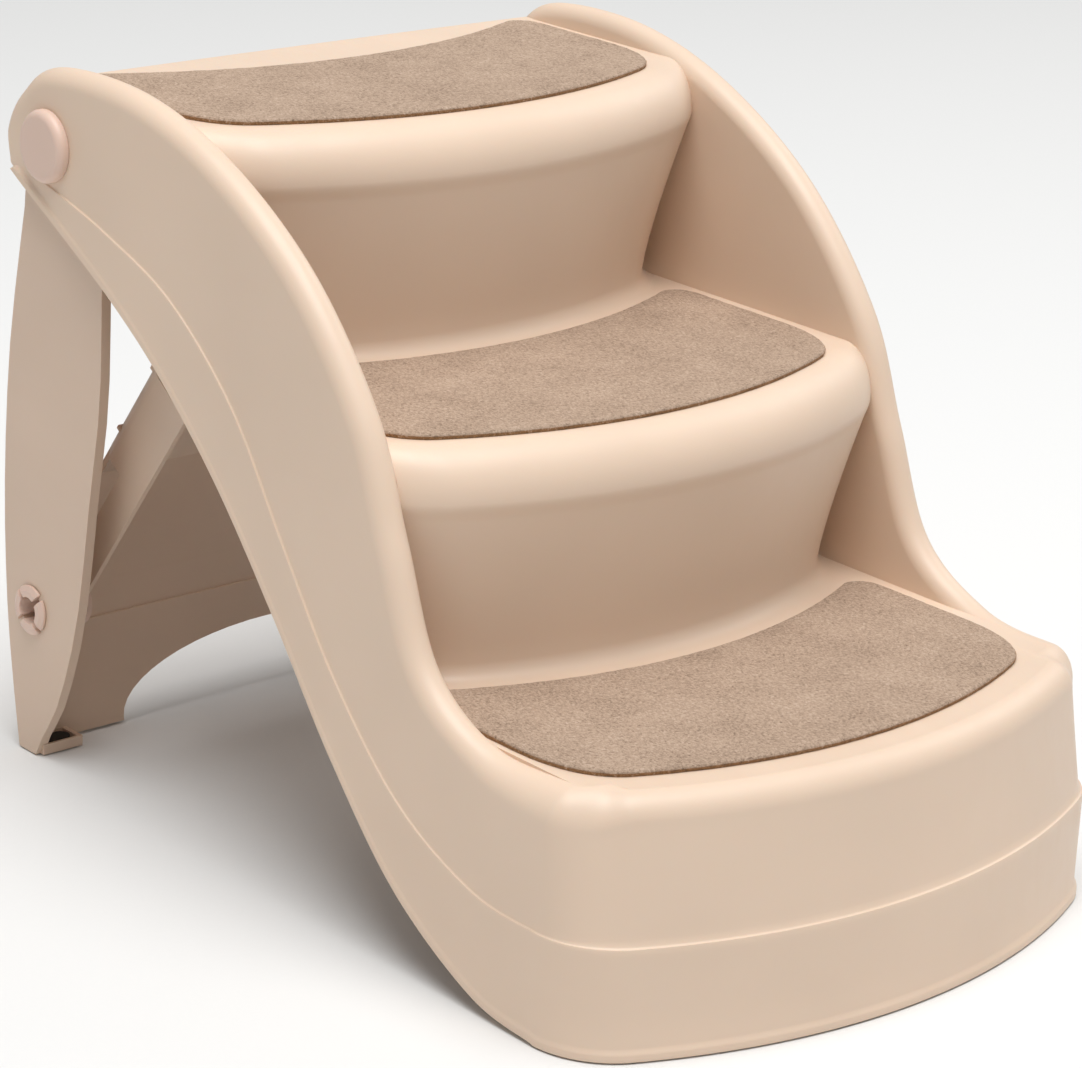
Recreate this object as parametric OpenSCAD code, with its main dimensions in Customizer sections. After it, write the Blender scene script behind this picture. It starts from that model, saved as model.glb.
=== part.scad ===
// Folding pet stairs with three treads, moulded in plastic.
// The stairs' front faces -Y, +X is to the right seen from the rear and +Z is up.
// The origin lies on the floor, at the middle of the whole object's width and depth.

/* [Steps] */
// Height of one step
rise = 125; // [110:1:140]
// Depth of one step, from nose to nose
run = 151; // [140:1:165]
// Height of the first tread above the floor
first_rise = 130; // [115:1:140]
// Radius of the curved front edge of each mat, seen from above
front_radius = 322; // [290:1:380]
// Corner radius of each mat's front edge
corner_radius = 47; // [40:1:52]
// How far a nose stands in front of its mat
nose_out = 26; // [22:1:30]
// Depth of a nose's rounded face
nose_drop = 26; // [22:1:30]
// How far the foot of a riser stands in front of the next mat
riser_foot_out = 8; // [6:1:10]
// How far the top of a riser stands in front of the next mat
riser_head_out = 23; // [19:1:25]
// Radius of the cove between a tread and the riser behind it
cove_r = 9; // [6:1:12]

/* [Body] */
// Width over the bottom rim
body_w = 366; // [350:1:390]
// Skin thickness of the moulding
skin = 3; // [2.5:0.1:3.4]
// Thickness of a hollow side wall
side_w = 18.5; // [18:0.5:22]
// Outer radius of the roll along the top of a side wall
roll_out = 10; // [9:0.5:10.5]
// Radius of the rounded front edge of the first step
front_roll = 13; // [11:0.5:16]
// How far the bottom front stands in front of the first mat
front_out = 42; // [38:1:48]
// Plan radius of the body's front corners
body_corner_r = 48; // [42:1:54]
// Lean of the front skirt, from rim to top
front_lean = 10; // [8:0.5:11]
// How far the rim stands out of the skirt
rim_out = 2; // [1.5:0.5:3]
// Height of the rim
rim_h = 4; // [3:0.5:6]
// How far the lower band stands out of the skirt
band_out = 1; // [0.5:0.5:1.5]
// How far the skirt stands back above the band, at the front
band_back = 2.4; // [1.5:0.1:3]
// Height of the front band's upper edge above the floor
band_h = 58.5; // [45:0.5:65]
// Depth of the apron at the rear edge of the top tread
apron_h = 26; // [20:1:30]
// Height of the stiffening ribs below the treads
rib_h = 10; // [6:1:12]
// Thickness of the stiffening ribs
rib_t = 2.4; // [2:0.1:3]

/* [Pivots] */
// Distance of the pivot behind the first mat's front edge
pivot_y = 444.5; // [440:0.5:447]
// Height of the pivot above the floor
pivot_z = 350.5; // [346:0.5:355]
// Radius of a pivot knob's head
knob_r = 19.5; // [18:0.5:22]
// Height of a pivot knob's head
knob_h = 6.5; // [5:0.5:8]
// Radius of a pivot knob's shaft
shaft_r = 8; // [6:0.5:9]
// Radius of the washer inside each pivot
washer_r = 13; // [11:0.5:15]
// Thickness of that washer
washer_t = 1.5; // [1:0.1:2]
// Radius of the screw that holds each knob
screw_r = 2.4; // [2:0.1:3]
// Length of that screw in the knob
screw_len = 10; // [8:1:12]

/* [Rear leg] */
// Gap between the body's skin and the outer face of a leg blade
blade_gap = 4; // [3.6:0.1:4.4]
// Thickness of a leg blade
blade_t = 3; // [2.5:0.1:3.4]
// Width of the folded lip on a blade's front edge, with the blade
lip_w = 6; // [5:0.5:7.5]
// Radius of a blade's head round the pivot
blade_head_r = 29; // [26:1:30]
// Height of the leg's cross panel above the floor
panel_h = 148; // [135:1:152]
// Height of the arch under the cross panel
arch_h = 40; // [36:1:52]
// Width of that arch at its foot
arch_w = 212; // [190:1:230]
// Height of the ledge across the panel
ledge_h = 63; // [56:1:72]
// Width of the pocket at each foot of the leg
pocket_w = 26; // [25:1:32]

/* [Brace] */
// Distance of the brace's hubs behind the first mat's front edge
hub_y = 467; // [463:1:471]
// Height of the brace's hubs above the floor
hub_z = 85; // [81:1:90]
// Angle of the open brace above the floor
brace_angle = 54.5; // [54:0.5:56]
// Length of the brace above its hubs
brace_len = 229; // [224:1:238]
// Gap between a side flange of the brace and the leg's blade
brace_gap = 21; // [15:1:26]
// Depth of the brace's upper part
brace_d = 41; // [36:1:42]
// Depth of the brace's arms
arm_d = 20; // [18:1:22]
// Length of the arms below the wide part
arm_len = 103; // [96:1:110]
// Radius of a snap pin's tube
pin_r = 10; // [9:0.5:11]
// Radius over a snap pin's claws
claw_r = 14; // [13:0.5:15]

/* [Mats and feet] */
// Thickness of a felt mat
mat_t = 3; // [2.5:0.5:5]
// Depth of a mat
mat_d = 127; // [122:1:130]
// Gap between a mat's left side and the side wall
mat_gap = 2.5; // [1.5:0.5:5]
// Gap between a mat's right side and the side wall
mat_gap_right = 11.5; // [1.5:0.5:14]
// Radius of a mat's rear corners
mat_rear_r = 14; // [8:1:18]
// Thickness of the fastening tape under a mat
tape_t = 1; // [0.6:0.1:1.4]
// Length of one piece of that tape
tape_l = 50; // [30:1:60]
// Width of one piece of that tape
tape_w = 20; // [12:1:24]
// How far the rubber feet stand out below the plastic
foot_out = 0.8; // [0.6:0.1:1.2]
// Length of a rubber foot
foot_l = 20; // [18:1:22]
// Width of a rubber foot
foot_w = 11; // [9:0.5:12]

/* [Hidden] */

// Clearances and the overrun of a cut
run_fit = 0.06;
side_fit = 0.3;
over = 1;

cream = [0.88, 0.80, 0.71];
felt = [0.68, 0.60, 0.52];
rubber = [0.06, 0.06, 0.06];
steel = [0.72, 0.72, 0.74];
tape_grey = [0.35, 0.33, 0.31];

steps = 3;
half_w = body_w / 2;
// The skirt's plain face, and the inner face of a side wall
face_x = half_w - rim_out;
inner_x = face_x - side_w;
roll_in = side_w - roll_out;
// The plain face of the front, and the centre of its arc
front_y = -front_out;
body_radius = front_radius + front_out;
plan_cy = body_radius - front_out;
// Centre of a body corner, which touches the side and the front arc
corner_cx = half_w - body_corner_r;
corner_cy = plan_cy - sqrt(pow(body_radius - body_corner_r, 2) - pow(corner_cx, 2));
corner_turn = asin(corner_cx / (body_radius - body_corner_r));
// The straight sides of the step's outline seen from above
step_side = inner_x + over;
step_cx = step_side - corner_radius;
// The sheet of steps ends inside the inner skin of each side wall
sheet_x = inner_x + 0.6 * skin;
rear_y = (steps - 1) * run + mat_d + 0.276 * run;

// Rear edge of a leg blade seen from the side, from the pivot, in shares of the pivot's height
blade_rear_share = [[0.113, -0.91], [0.133, -0.764], [0.141, -0.567], [0.128, -0.34], [0.09, -0.115]];
// Depth of the whole object, for its middle: the leg's rear bulge and the front rim
leg_rear_y = pivot_y + blade_rear_share[2][0] * pivot_z;
mid_y = (leg_rear_y + front_y) / 2;

blade_x = face_x - skin - blade_gap;
blade_in = blade_x - blade_t;
lip_in = blade_x - lip_w;
brace_w = 2 * (blade_in - brace_gap);

function tread_z(k) = first_rise + (k - 1) * rise;
function mat_y(k) = (k - 1) * run;

// Smooth curve through a list of points, one unit of t for each stretch
function between(a, b, c, d, u) =
    0.5 * (2 * b + (c - a) * u + (2 * a - 5 * b + 4 * c - d) * u * u
    + (3 * b - a - 3 * c + d) * u * u * u);
function at(p, i) = p[max(0, min(len(p) - 1, i))];
function along(p, t) =
    let (i = min(floor(t), len(p) - 2), u = t - i)
    between(at(p, i - 1), at(p, i), at(p, i + 1), at(p, i + 2), u);
function curve(p, n) = [for (i = [0:n]) along(p, i * (len(p) - 1) / n)];

// Side wall seen from the side, in shares of the run and the rise,
// from the tip behind the pivot to the front corner: top, band line and lower edge
crest_share = [[3.186, 2.634], [3.216, 2.784], [3.142, 2.95], [2.954, 3.086], [2.48, 3.09], [2.02, 2.93],
    [1.57, 2.604], [1.22, 2.133], [1.048, 1.668], [0.874, 1.218], [0.57, 1.013], [0.24, 1.]];
band_share = [[3.166, 2.632], [3.113, 2.644], [3.013, 2.612], [2.89, 2.584], [2.585, 2.484], [2.215, 2.308],
    [1.864, 1.968], [1.57, 1.492], [1.28, 1.038], [0.934, 0.656], [0.556, 0.456], [0.24, 0.428]];
edge_share = [[3.155, 2.61], [3.113, 2.58], [3.033, 2.528], [2.88, 2.432], [2.543, 2.208], [2.245, 1.96],
    [1.914, 1.6], [1.59, 1.16], [1.278, 0.7], [0.927, 0.284], [0.53, 0.024], [0.24, -0.028]];
function side_point(s) = [s[0] * run, first_rise - rise + s[1] * rise];
side_n = 30;

// One station of the swept wall: place, outward direction, up direction,
// roll radius, lean, and the points on the band line and the lower edge
function side_stations(sx) =
    let (c = curve([for (s = crest_share) side_point(s)], side_n),
        b = curve([for (s = band_share) side_point(s)], side_n),
        e = curve([for (s = edge_share) side_point(s)], side_n))
    [for (i = [0:side_n])
        let (d = c[min(i + 1, side_n)] - c[max(i - 1, 0)], l = norm(d))
        [[sx * face_x, c[i][0], c[i][1]], [sx, 0, 0], [0, d[1] / l, -d[0] / l],
            roll_out + roll_more * ease(low_part(c[i][0])), 0, [b[i][0], b[i][1]],
            [e[i][0], max(foot_out, e[i][1])], roll_in, min(1, tip_flat_share + i / tip_n), 0]];
// The roll flattens out over the last stations before the tip
tip_flat_share = 0.25;
tip_n = 8;
// The roll grows where the wall's crest runs level with the first tread
roll_more = 7;
function low_part(y) = max(0, min(1, (0.7 * run - y) / (0.7 * run - corner_cy)));

corner_n = 8;
front_n = 12;
// Stations round the front, from the left corner to the right corner
function plan_station(cx, cy, r, a, w, more) =
    let (o = [sin(a), -cos(a), 0])
    [[cx + (r - rim_out) * o[0], cy + (r - rim_out) * o[1], tread_z(1) + skin / 20],
        o, [0, 0, 1], plan_roll(w, more), plan_lean(w, more),
        [0, band_h], [0, foot_out], roll_in + (front_in - roll_in) * w, 1, band_back * w];
side_roll = roll_out + roll_more;
// The crest cuts the corners: more lean and more roll halfway round
corner_more = 4;
function plan_roll(w, more) = side_roll + (front_roll - side_roll) * w + corner_more * more;
function plan_lean(w, more) = front_lean * w + corner_more * more;
front_in = 5;
function ease(u) = u * u * (3 - 2 * u);
function halfway(i) = pow(sin(180 * i / corner_n), 2);
function front_stations() = concat(
    [for (i = [1:corner_n])
        let (a = -90 + (90 - corner_turn) * i / corner_n)
        plan_station(-corner_cx, corner_cy, body_corner_r, a, ease(i / corner_n), halfway(i))],
    [for (i = [1:front_n - 1])
        plan_station(0, plan_cy, body_radius, -corner_turn + 2 * corner_turn * i / front_n, 1, 0)],
    [for (i = [corner_n:-1:1])
        let (a = 90 - (90 - corner_turn) * i / corner_n)
        plan_station(corner_cx, corner_cy, body_corner_r, a, ease(i / corner_n), halfway(i))]);
function reversed(p) = [for (i = [len(p) - 1:-1:0]) p[i]];

roll_n = 5;
// Cross-section at one station: out from the plain face by h, at the height of a side point
function shifted(s, h, q) = s[2][2] > 0.999 && s[1][1] != 0
    ? [s[0][0] + h * s[1][0], s[0][1] + h * s[1][1], q[1]]
    : [s[0][0] + h * s[1][0], q[0], q[1]];
function rolled(s, out, drop) = s[0] - s[4] * s[1] + out * s[1] - drop * s[2];
function section(s, inset, extra) =
    let (ro = s[3] - inset, ri = s[7] - inset, mid = s[3],
        b = s[5], e = [s[6][0], s[6][1] - extra], b2 = [b[0], b[1] + band_out],
        e2 = [e[0], e[1] + rim_h], e3 = [e[0], e[1] + rim_h + rim_out],
        full = inset == 0 ? 1 : 0, band = band_out - s[9] / 2)
    concat(
        [shifted(s, full * rim_out - inset, e),
            shifted(s, full * rim_out - inset, [e2[0], min(e2[1], b[1] - 2 * over)]),
            shifted(s, full * band - inset, [e3[0], min(e3[1], b[1] - over)]),
            shifted(s, full * band - inset, b),
            shifted(s, -inset - s[9], b2)],
        [for (i = [0:roll_n])
            let (a = 90 - 90 * i / roll_n)
            rolled(s, ro * sin(a) - mid, inset + s[8] * ro * (1 - cos(a)))],
        [for (i = [1:roll_n])
            let (a = 90 * i / roll_n)
            rolled(s, -ri * sin(a) - mid, inset + s[8] * ri * (1 - cos(a)))],
        [shifted(s, -s[3] - s[7] + inset - s[4], e)]);

// Closed solid from a list of loops with equal numbers of points
module loft(loops, flat_ends) {
    m = len(loops[0]);
    n = len(loops);
    pts = [for (l = loops) each l];
    ends = [for (l = [loops[0], loops[n - 1]]) [for (k = [0:2])
        let (s = [for (p = l) p[k]]) (s * [for (p = l) 1]) / m]];
    faces = concat(
        [for (i = [0:n - 2]) for (j = [0:m - 1])
            let (a = i * m + j, b = i * m + (j + 1) % m, c = a + m, d = b + m)
            each [[a, b, d], [a, d, c]]],
        flat_ends ? [[for (j = [m - 1:-1:0]) j], [for (j = [0:m - 1]) (n - 1) * m + j]]
            : concat([for (j = [0:m - 1]) [n * m, (j + 1) % m, j]],
                [for (j = [0:m - 1]) [n * m + 1, (n - 1) * m + j, (n - 1) * m + (j + 1) % m]]));
    polyhedron(flat_ends ? pts : concat(pts, ends), faces);
}

module wall_band(inset, extra) {
    left = side_stations(-1);
    right = reversed(side_stations(1));
    skip = inset > 0 ? 1 : 0;
    all = concat([for (i = [skip:len(left) - 1]) left[i]], front_stations(),
        [for (i = [0:len(right) - 1 - skip]) right[i]]);
    loft([for (s = all) section(s, inset, extra)], false);
}

// Sag of a step's outline at x, for an outline that stands out by d, with a corner
// of radius c about cx that counts in full or in part
function arc_sag(x, r) = r - sqrt(r * r - x * x);
function corner_sag(x, cx, c) = let (a = max(abs(x) - cx, 0)) c - sqrt(max(c * c - a * a, 0));
function sag(x, d, cx, part) =
    arc_sag(x, front_radius + d) + part * corner_sag(x, cx, corner_radius + d);

// Middle profile of the steps as rows of place, height, stand-out, kind of outline,
// centre of its corner and share of the corner
nose_n = 6;
cove_n = 3;
riser_n = 2;
nose_cx = step_cx + 0.4 * corner_radius;
function riser_cx(d) = step_cx + (nose_cx - step_cx) * (d - riser_foot_out) / (riser_head_out - riser_foot_out);
function nose_rows(k) =
    let (y = mat_y(k), z = tread_z(k), r = nose_out - flat_lip, h = z - nose_drop - 2 * nose_under,
        f = tread_z(k - 1) + cove_r)
    concat(
        k == 1 ? [] : [for (i = [1:riser_n])
            let (u = i / riser_n, d = riser_foot_out + (riser_head_out - riser_foot_out) * pow(u, 1.3))
            [y - d, f + (h - f) * u, d, 1, riser_cx(d), 1]],
        k == 1 ? [] : [
            [y - riser_head_out - 0.3 * (nose_out - riser_head_out), z - nose_drop - 1.2 * nose_under,
                riser_head_out, 1, nose_cx, 1],
            [y - nose_out, z - nose_drop, nose_out, 1, nose_cx, 1]],
        k == 1 ? [[y - front_flat, z, front_flat, 2, 0, 0]] : [for (i = [1:nose_n])
            let (a = 90 * i / nose_n)
            [y - flat_lip - r * cos(a), z - nose_drop + nose_drop * sin(a),
                flat_lip + r * cos(a), 1, nose_cx, cos(a)]]);
// Flat strip in front of a mat, and the same on the first step
flat_lip = 3;
front_flat = front_out - front_lean - front_roll - rim_out;
// Height of the turn below a nose
nose_under = 5;
function cove_rows(k) =
    let (y = mat_y(k) + run, z = tread_z(k), f = riser_foot_out)
    [for (i = [0:cove_n])
        let (a = 90 * i / cove_n)
        [y - f - cove_r * (1 - sin(a)), z + cove_r * (1 - cos(a)), f + cove_r * (1 - sin(a)), 1,
            step_cx, 1]];
edge_r = 5;
function top_rows() =
    let (z = tread_z(steps))
    [for (i = [0:cove_n])
        let (a = 90 * i / cove_n)
        [rear_y - edge_r * (1 - sin(a)), z - edge_r * (1 - cos(a)), 0, 0, 0, 0]];
function step_rows() = concat([for (k = [1:steps]) each concat(nose_rows(k),
    k < steps ? cove_rows(k) : top_rows())], [[rear_y, tread_z(steps) - apron_h, 0, 0, 0, 0]]);

// Rows set in by a distance along their own normal
function set_in(rows, inset) = [for (i = [0:len(rows) - 1])
    let (a = rows[max(i - 1, 0)], b = rows[min(i + 1, len(rows) - 1)],
        d = [b[0] - a[0], b[1] - a[1]], l = norm(d), n = [d[1] / l, -d[0] / l],
        n2 = i == 0 ? [0, -1] : i == len(rows) - 1 ? [-1, 0] : n)
    [rows[i][0] + inset * n2[0], rows[i][1] + inset * n2[1],
        rows[i][3] > 0 ? rows[i][2] - inset * n2[0] : 0, rows[i][3], rows[i][4], rows[i][5]]];

rear_round = 2;
column_n = 7;
function column_x(n, last) = concat(
    [for (i = [-n:n]) i * step_cx / n],
    [for (i = [1:n]) step_cx + (last - step_cx) * sin(90 * i / n)]);
function columns(n, last) =
    let (c = column_x(n, last))
    concat([for (i = [len(c) - 1:-1:2 * n + 1]) -c[i]], c);
// The first tread ends at the crest line of the body's front and its corners
crest_corner = [for (i = [corner_n:-1:0])
    let (w = ease(i / corner_n), a = 90 - (90 - corner_turn) * i / corner_n,
        r = body_corner_r - rim_out - plan_lean(w, halfway(i)) - plan_roll(w, halfway(i)))
    [corner_cx + r * sin(a), corner_cy - r * cos(a)]];
function front_sag(x) =
    let (r = front_radius + front_flat, a = abs(x))
    a < r * sin(corner_turn) ? r - sqrt(r * r - a * a) : front_flat + lookup(a, crest_corner);
function rear_sag(x) = -rear_round * pow(x / sheet_x, 2);
function sheet_point(x, r) =
    [x, r[0] + (r[3] == 2 ? front_sag(x) : r[3] == 1 ? sag(x, r[2], r[4], r[5]) : rear_sag(x)), r[1]];

// The steps as a closed solid, above a lower path that stays below every tread
module step_block(inset, n, low) {
    rows = set_in(step_rows(), inset);
    loft([for (x = columns(n, sheet_x + (inset > 0 ? skin : 0))) concat(
        [for (r = rows) sheet_point(x, r)], [for (q = low) sheet_point(x, q)])], true);
}
under = 4 * skin;
outer_low = [[rear_y - 2 * skin, tread_z(steps) - apron_h, 0, 0],
    [mat_y(steps) + 0.9 * run, tread_z(steps - 1) - under, 0, 0],
    [mat_y(2) + 0.75 * run, tread_z(2) - under, 0, 0],
    [mat_y(2) + 0.6 * run, tread_z(1) - under, 0, 0],
    [-front_flat, tread_z(1) - under, 0, 2]];
deep = rise / 5;
inner_low = [[rear_y - skin, -deep, 0, 0], [-front_flat, -deep, 0, 2]];

// Rib with round ends, laid across below a tread
module cross_rib(y, z, half, depth) {
    hull() for (sx = [-1, 1]) translate([sx * half, y, z - depth])
        cylinder(h = depth, r = rib_t / 2, $fn = 12);
}
rib_half = inner_x - 2 * skin;

// Stop inside each side wall, behind the leg's head
module leg_stop(sx) {
    hull() for (i = [0, 1]) translate([sx * (inner_x + skin / 2), pivot_y + cos(18 * i + 3) * stop_r[i],
        pivot_z - sin(18 * i + 3) * stop_r[i]]) rotate([0, sx * 90, 0])
        cylinder(h = side_w - skin, r = rib_t, $fn = 16);
}
stop_r = [blade_head_r + side_fit + 1.2 * rib_t, 1.11 * blade_head_r + side_fit + 1.2 * rib_t];

// Shelf across each front corner, which carries a rubber foot
foot_x = corner_cx - foot_l / 2;
foot_y = corner_cy + foot_w;
shelf_t = 2.5;
shelf_reach = body_corner_r - rim_out - skin / 2;
module foot_shelf(sx) {
    hull() {
        translate([sx * (foot_x - 0.7 * foot_l), foot_y, foot_out])
            cylinder(h = shelf_t, r = foot_w, $fn = 24);
        translate([sx * (foot_x + 0.6 * foot_l), foot_y, foot_out])
            cylinder(h = shelf_t, r = foot_w, $fn = 24);
        translate([sx * (foot_x - 0.4 * foot_l), foot_y - 2.6 * foot_w, foot_out])
            cylinder(h = shelf_t, r = foot_w, $fn = 24);
        for (a = [45, 90]) translate([sx * (corner_cx + shelf_reach * sin(a)),
            corner_cy - shelf_reach * cos(a), foot_out]) cylinder(h = shelf_t, r = skin / 4, $fn = 24);
    }
}

// Stadium, used for the rubber feet, their seats and the tape
module stadium(l, w, h, fn) {
    for (sx = [-1, 1]) translate([sx * (l - w) / 2, 0, 0]) cylinder(h = h, r = w / 2, $fn = fn);
    translate([-(l - w) / 2, -w / 2, 0]) cube([l - w, w, h]);
}

module stair_body() {
    color(cream) translate([0, -mid_y, 0]) difference() {
        union() {
            difference() {
                union() {
                    wall_band(0, 0);
                    step_block(0, column_n, outer_low);
                }
                union() {
                    wall_band(skin, deep);
                    step_block(skin, column_n - 2, inner_low);
                }
            }
            for (k = [1:steps]) for (f = [0.3, 0.7])
                cross_rib(mat_y(k) + f * mat_d, tread_z(k) - skin / 2, rib_half * (1 - f / 3), rib_h);
            for (sx = [-1, 1]) {
                leg_stop(sx);
                foot_shelf(sx);
            }
        }
        for (sx = [-1, 1]) {
            translate([sx * (face_x - 2 * skin), pivot_y, pivot_z]) rotate([0, sx * 90, 0])
                cylinder(h = 4 * skin, r = shaft_r + side_fit, $fn = 48);
            translate([sx * foot_x, foot_y, foot_out - over])
                stadium(foot_l - 2 * foot_lip + 2 * side_fit, foot_w - 2 * foot_lip + 2 * side_fit,
                    shelf_t + 2 * over, 24);
        }
    }
}
foot_lip = 2;

// A mat's outline: curved front with blunt corners, straight sides and a curved rear edge,
// on one side of the middle
mat_in_front = 0.09 * nose_out;
mat_long_share = [1, 1.03, 0.95];
mat_n = 22;
front_corner = [0.6 * corner_radius, 0.96 * corner_radius];
blunt = 2.6;
function blunt_corner(t) = 1 - pow(1 - pow(max(0, min(1, t)), blunt), 1 / blunt);
function mat_x(h, i) = h * sin(90 * i / mat_n);
function mat_front(h) = [for (i = [0:mat_n])
    let (x = mat_x(h, i))
    [x, -mat_in_front + arc_sag(x, front_radius)
        + front_corner[1] * blunt_corner((x - h + front_corner[0]) / front_corner[0])]];
function mat_rear(h, d) = [for (i = [mat_n:-1:0])
    let (x = mat_x(h, i), b = h - mat_rear_r, a = max(x - b, 0))
    [x, d - mat_in_front + arc_sag(min(x, b), front_radius) - mat_rear_r
        + sqrt(max(mat_rear_r * mat_rear_r - a * a, 0))]];
mat_left = inner_x - mat_gap;
mat_right = inner_x - mat_gap_right;
function mat_edge(h, d) = concat(mat_front(h), mat_rear(h, d));
function mirrored(p) = [for (i = [len(p) - 2:-1:1]) [-p[i][0], p[i][1]]];
module mat_shape(d) {
    polygon(concat(mat_edge(mat_right, d), mirrored(mat_edge(mat_left, d))));
}
tape_places_share = [[-0.62, 0.40], [0, 0.16], [0.62, 0.40], [-0.32, 0.80], [0.32, 0.80]];
module tape_places() {
    for (p = tape_places_share) translate([p[0] * mat_right, p[1] * mat_d, 0])
        children();
}
module tape(extra) {
    tape_places() translate([-tape_l / 2 - extra, -tape_w / 2 - extra, 0])
        cube([tape_l + 2 * extra, tape_w + 2 * extra, tape_t + extra]);
}
module mat(k) {
    color(felt) translate([0, mat_y(k) - mid_y, tread_z(k)]) difference() {
        linear_extrude(mat_t) mat_shape(mat_long_share[k - 1] * mat_d);
        translate([0, 0, -over]) tape_places() translate([-tape_l / 2, -tape_w / 2, 0])
            cube([tape_l, tape_w, tape_t + over]);
    }
}
module mat_tape(k) {
    color(tape_grey) translate([0, mat_y(k) - mid_y, tread_z(k)]) tape(0);
}
module tread_mat_1() {
    mat(1);
}
module tread_mat_2() {
    mat(2);
}
module tread_mat_3() {
    mat(3);
}
module mat_tape_1() {
    mat_tape(1);
}
module mat_tape_2() {
    mat_tape(2);
}
module mat_tape_3() {
    mat_tape(3);
}

// Places a piece on the left or right pivot, with its axis pointing outward
module on_side(sx, x, y, z) {
    translate([sx * x, y - mid_y, z]) rotate([0, sx * 90, 0]) children();
}
knob_round = 0.65 * knob_h;
shaft_in = blade_in - side_fit;
shaft_len = face_x - shaft_in;
module pivot_knob(sx) {
    color(cream) on_side(sx, face_x, pivot_y, pivot_z) difference() {
        rotate_extrude($fn = 64) polygon(concat(
            [[0, -shaft_len], [shaft_r, -shaft_len], [shaft_r, 0], [knob_r, 0]],
            [for (i = [0:6]) let (a = 90 * i / 6)
                [knob_r - knob_round * (1 - cos(a)), knob_h - knob_round * (1 - sin(a))]],
            [[0, knob_h]]));
        translate([0, 0, -shaft_len - over]) cylinder(h = screw_len + over, r = screw_r, $fn = 32);
    }
}
module pivot_washer(sx) {
    color(steel) on_side(sx, shaft_in - washer_t, pivot_y, pivot_z) difference() {
        cylinder(h = washer_t, r = washer_r, $fn = 48);
        translate([0, 0, -over]) cylinder(h = washer_t + 2 * over, r = screw_r + run_fit, $fn = 32);
    }
}
screw_head_h = 1.2 * screw_r;
module pivot_screw(sx) {
    color(steel) on_side(sx, shaft_in - washer_t, pivot_y, pivot_z) difference() {
        union() {
            cylinder(h = screw_len + washer_t - over, r = screw_r, $fn = 32);
            translate([0, 0, -screw_head_h]) rotate_extrude($fn = 48) polygon([[0, 0],
                [1.5 * screw_r, 0], [1.9 * screw_r, 0.5 * screw_r], [1.9 * screw_r, screw_head_h],
                [0, screw_head_h]]);
        }
        for (a = [0, 90]) rotate([0, 0, a])
            translate([-screw_r, -screw_r / 5, -screw_head_h - over])
            cube([2 * screw_r, 2 * screw_r / 5, over + screw_head_h / 2]);
    }
}
module pivot_knob_left() {
    pivot_knob(-1);
}
module pivot_knob_right() {
    pivot_knob(1);
}
module pivot_washer_left() {
    pivot_washer(-1);
}
module pivot_washer_right() {
    pivot_washer(1);
}
module pivot_screw_left() {
    pivot_screw(-1);
}
module pivot_screw_right() {
    pivot_screw(1);
}

// Rubber foot with a neck through its seat and a button above it
module rubber_foot(seat_t) {
    stadium(foot_l, foot_w, foot_out, 32);
    translate([0, 0, foot_out - over]) stadium(foot_l - 2 * foot_lip, foot_w - 2 * foot_lip,
        seat_t + side_fit + 2 * over, 32);
    translate([0, 0, foot_out + seat_t]) stadium(foot_l - foot_lip, foot_w - foot_lip / 2, 1.5 * foot_lip, 32);
}
module front_foot(sx) {
    color(rubber) translate([sx * foot_x, foot_y - mid_y, 0]) rubber_foot(shelf_t);
}
module front_foot_left() {
    front_foot(-1);
}
module front_foot_right() {
    front_foot(1);
}

// Front edge of a leg blade, in the same shares; it goes down from the head, and the rear
// edge comes back up
blade_front_share = [[-0.113, -0.19], [-0.111, -0.37], [-0.088, -0.533], [-0.058, -0.737],
    [-0.012, -0.885], [0.035, -0.965]];
function blade_point(s) = [pivot_y + s[0] * pivot_z, pivot_z + s[1] * pivot_z];
edge_n = 12;
function blade_front() = curve([for (s = blade_front_share) blade_point(s)], edge_n);
function blade_rear() = curve([for (s = blade_rear_share) blade_point(s)], edge_n);
// Heel and toe of the blade on the floor plate
toe_share = [0.051, -0.99];
heel_share = [0.097, -0.99];
function head_arc() = [for (i = [0:12]) let (a = -8 + 196 * i / 12)
    [pivot_y + blade_head_r * cos(a), pivot_z + blade_head_r * sin(a)]];
function blade_outline() = concat(blade_front(),
    [[blade_point(toe_share)[0], foot_out], [blade_point(heel_share)[0], foot_out]],
    blade_rear(), head_arc());
// The same edge set in to one side by a thickness
function set_aside(p, t) = [for (i = [0:len(p) - 1])
    let (d = p[min(i + 1, len(p) - 1)] - p[max(i - 1, 0)], l = norm(d))
    p[i] + t * [-d[1], d[0]] / l];
module side_plate(x0, x1, pts) {
    translate([x0, 0, 0]) rotate([90, 0, 90]) linear_extrude(x1 - x0) polygon(pts);
}
function toe() = [blade_point(toe_share)[0], foot_out];
function heel() = [blade_point(heel_share)[0], foot_out];
function strip(p, t) = concat(p, reversed(set_aside(p, t)));
function lip_line() = concat(blade_front(), [toe()]);
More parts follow.
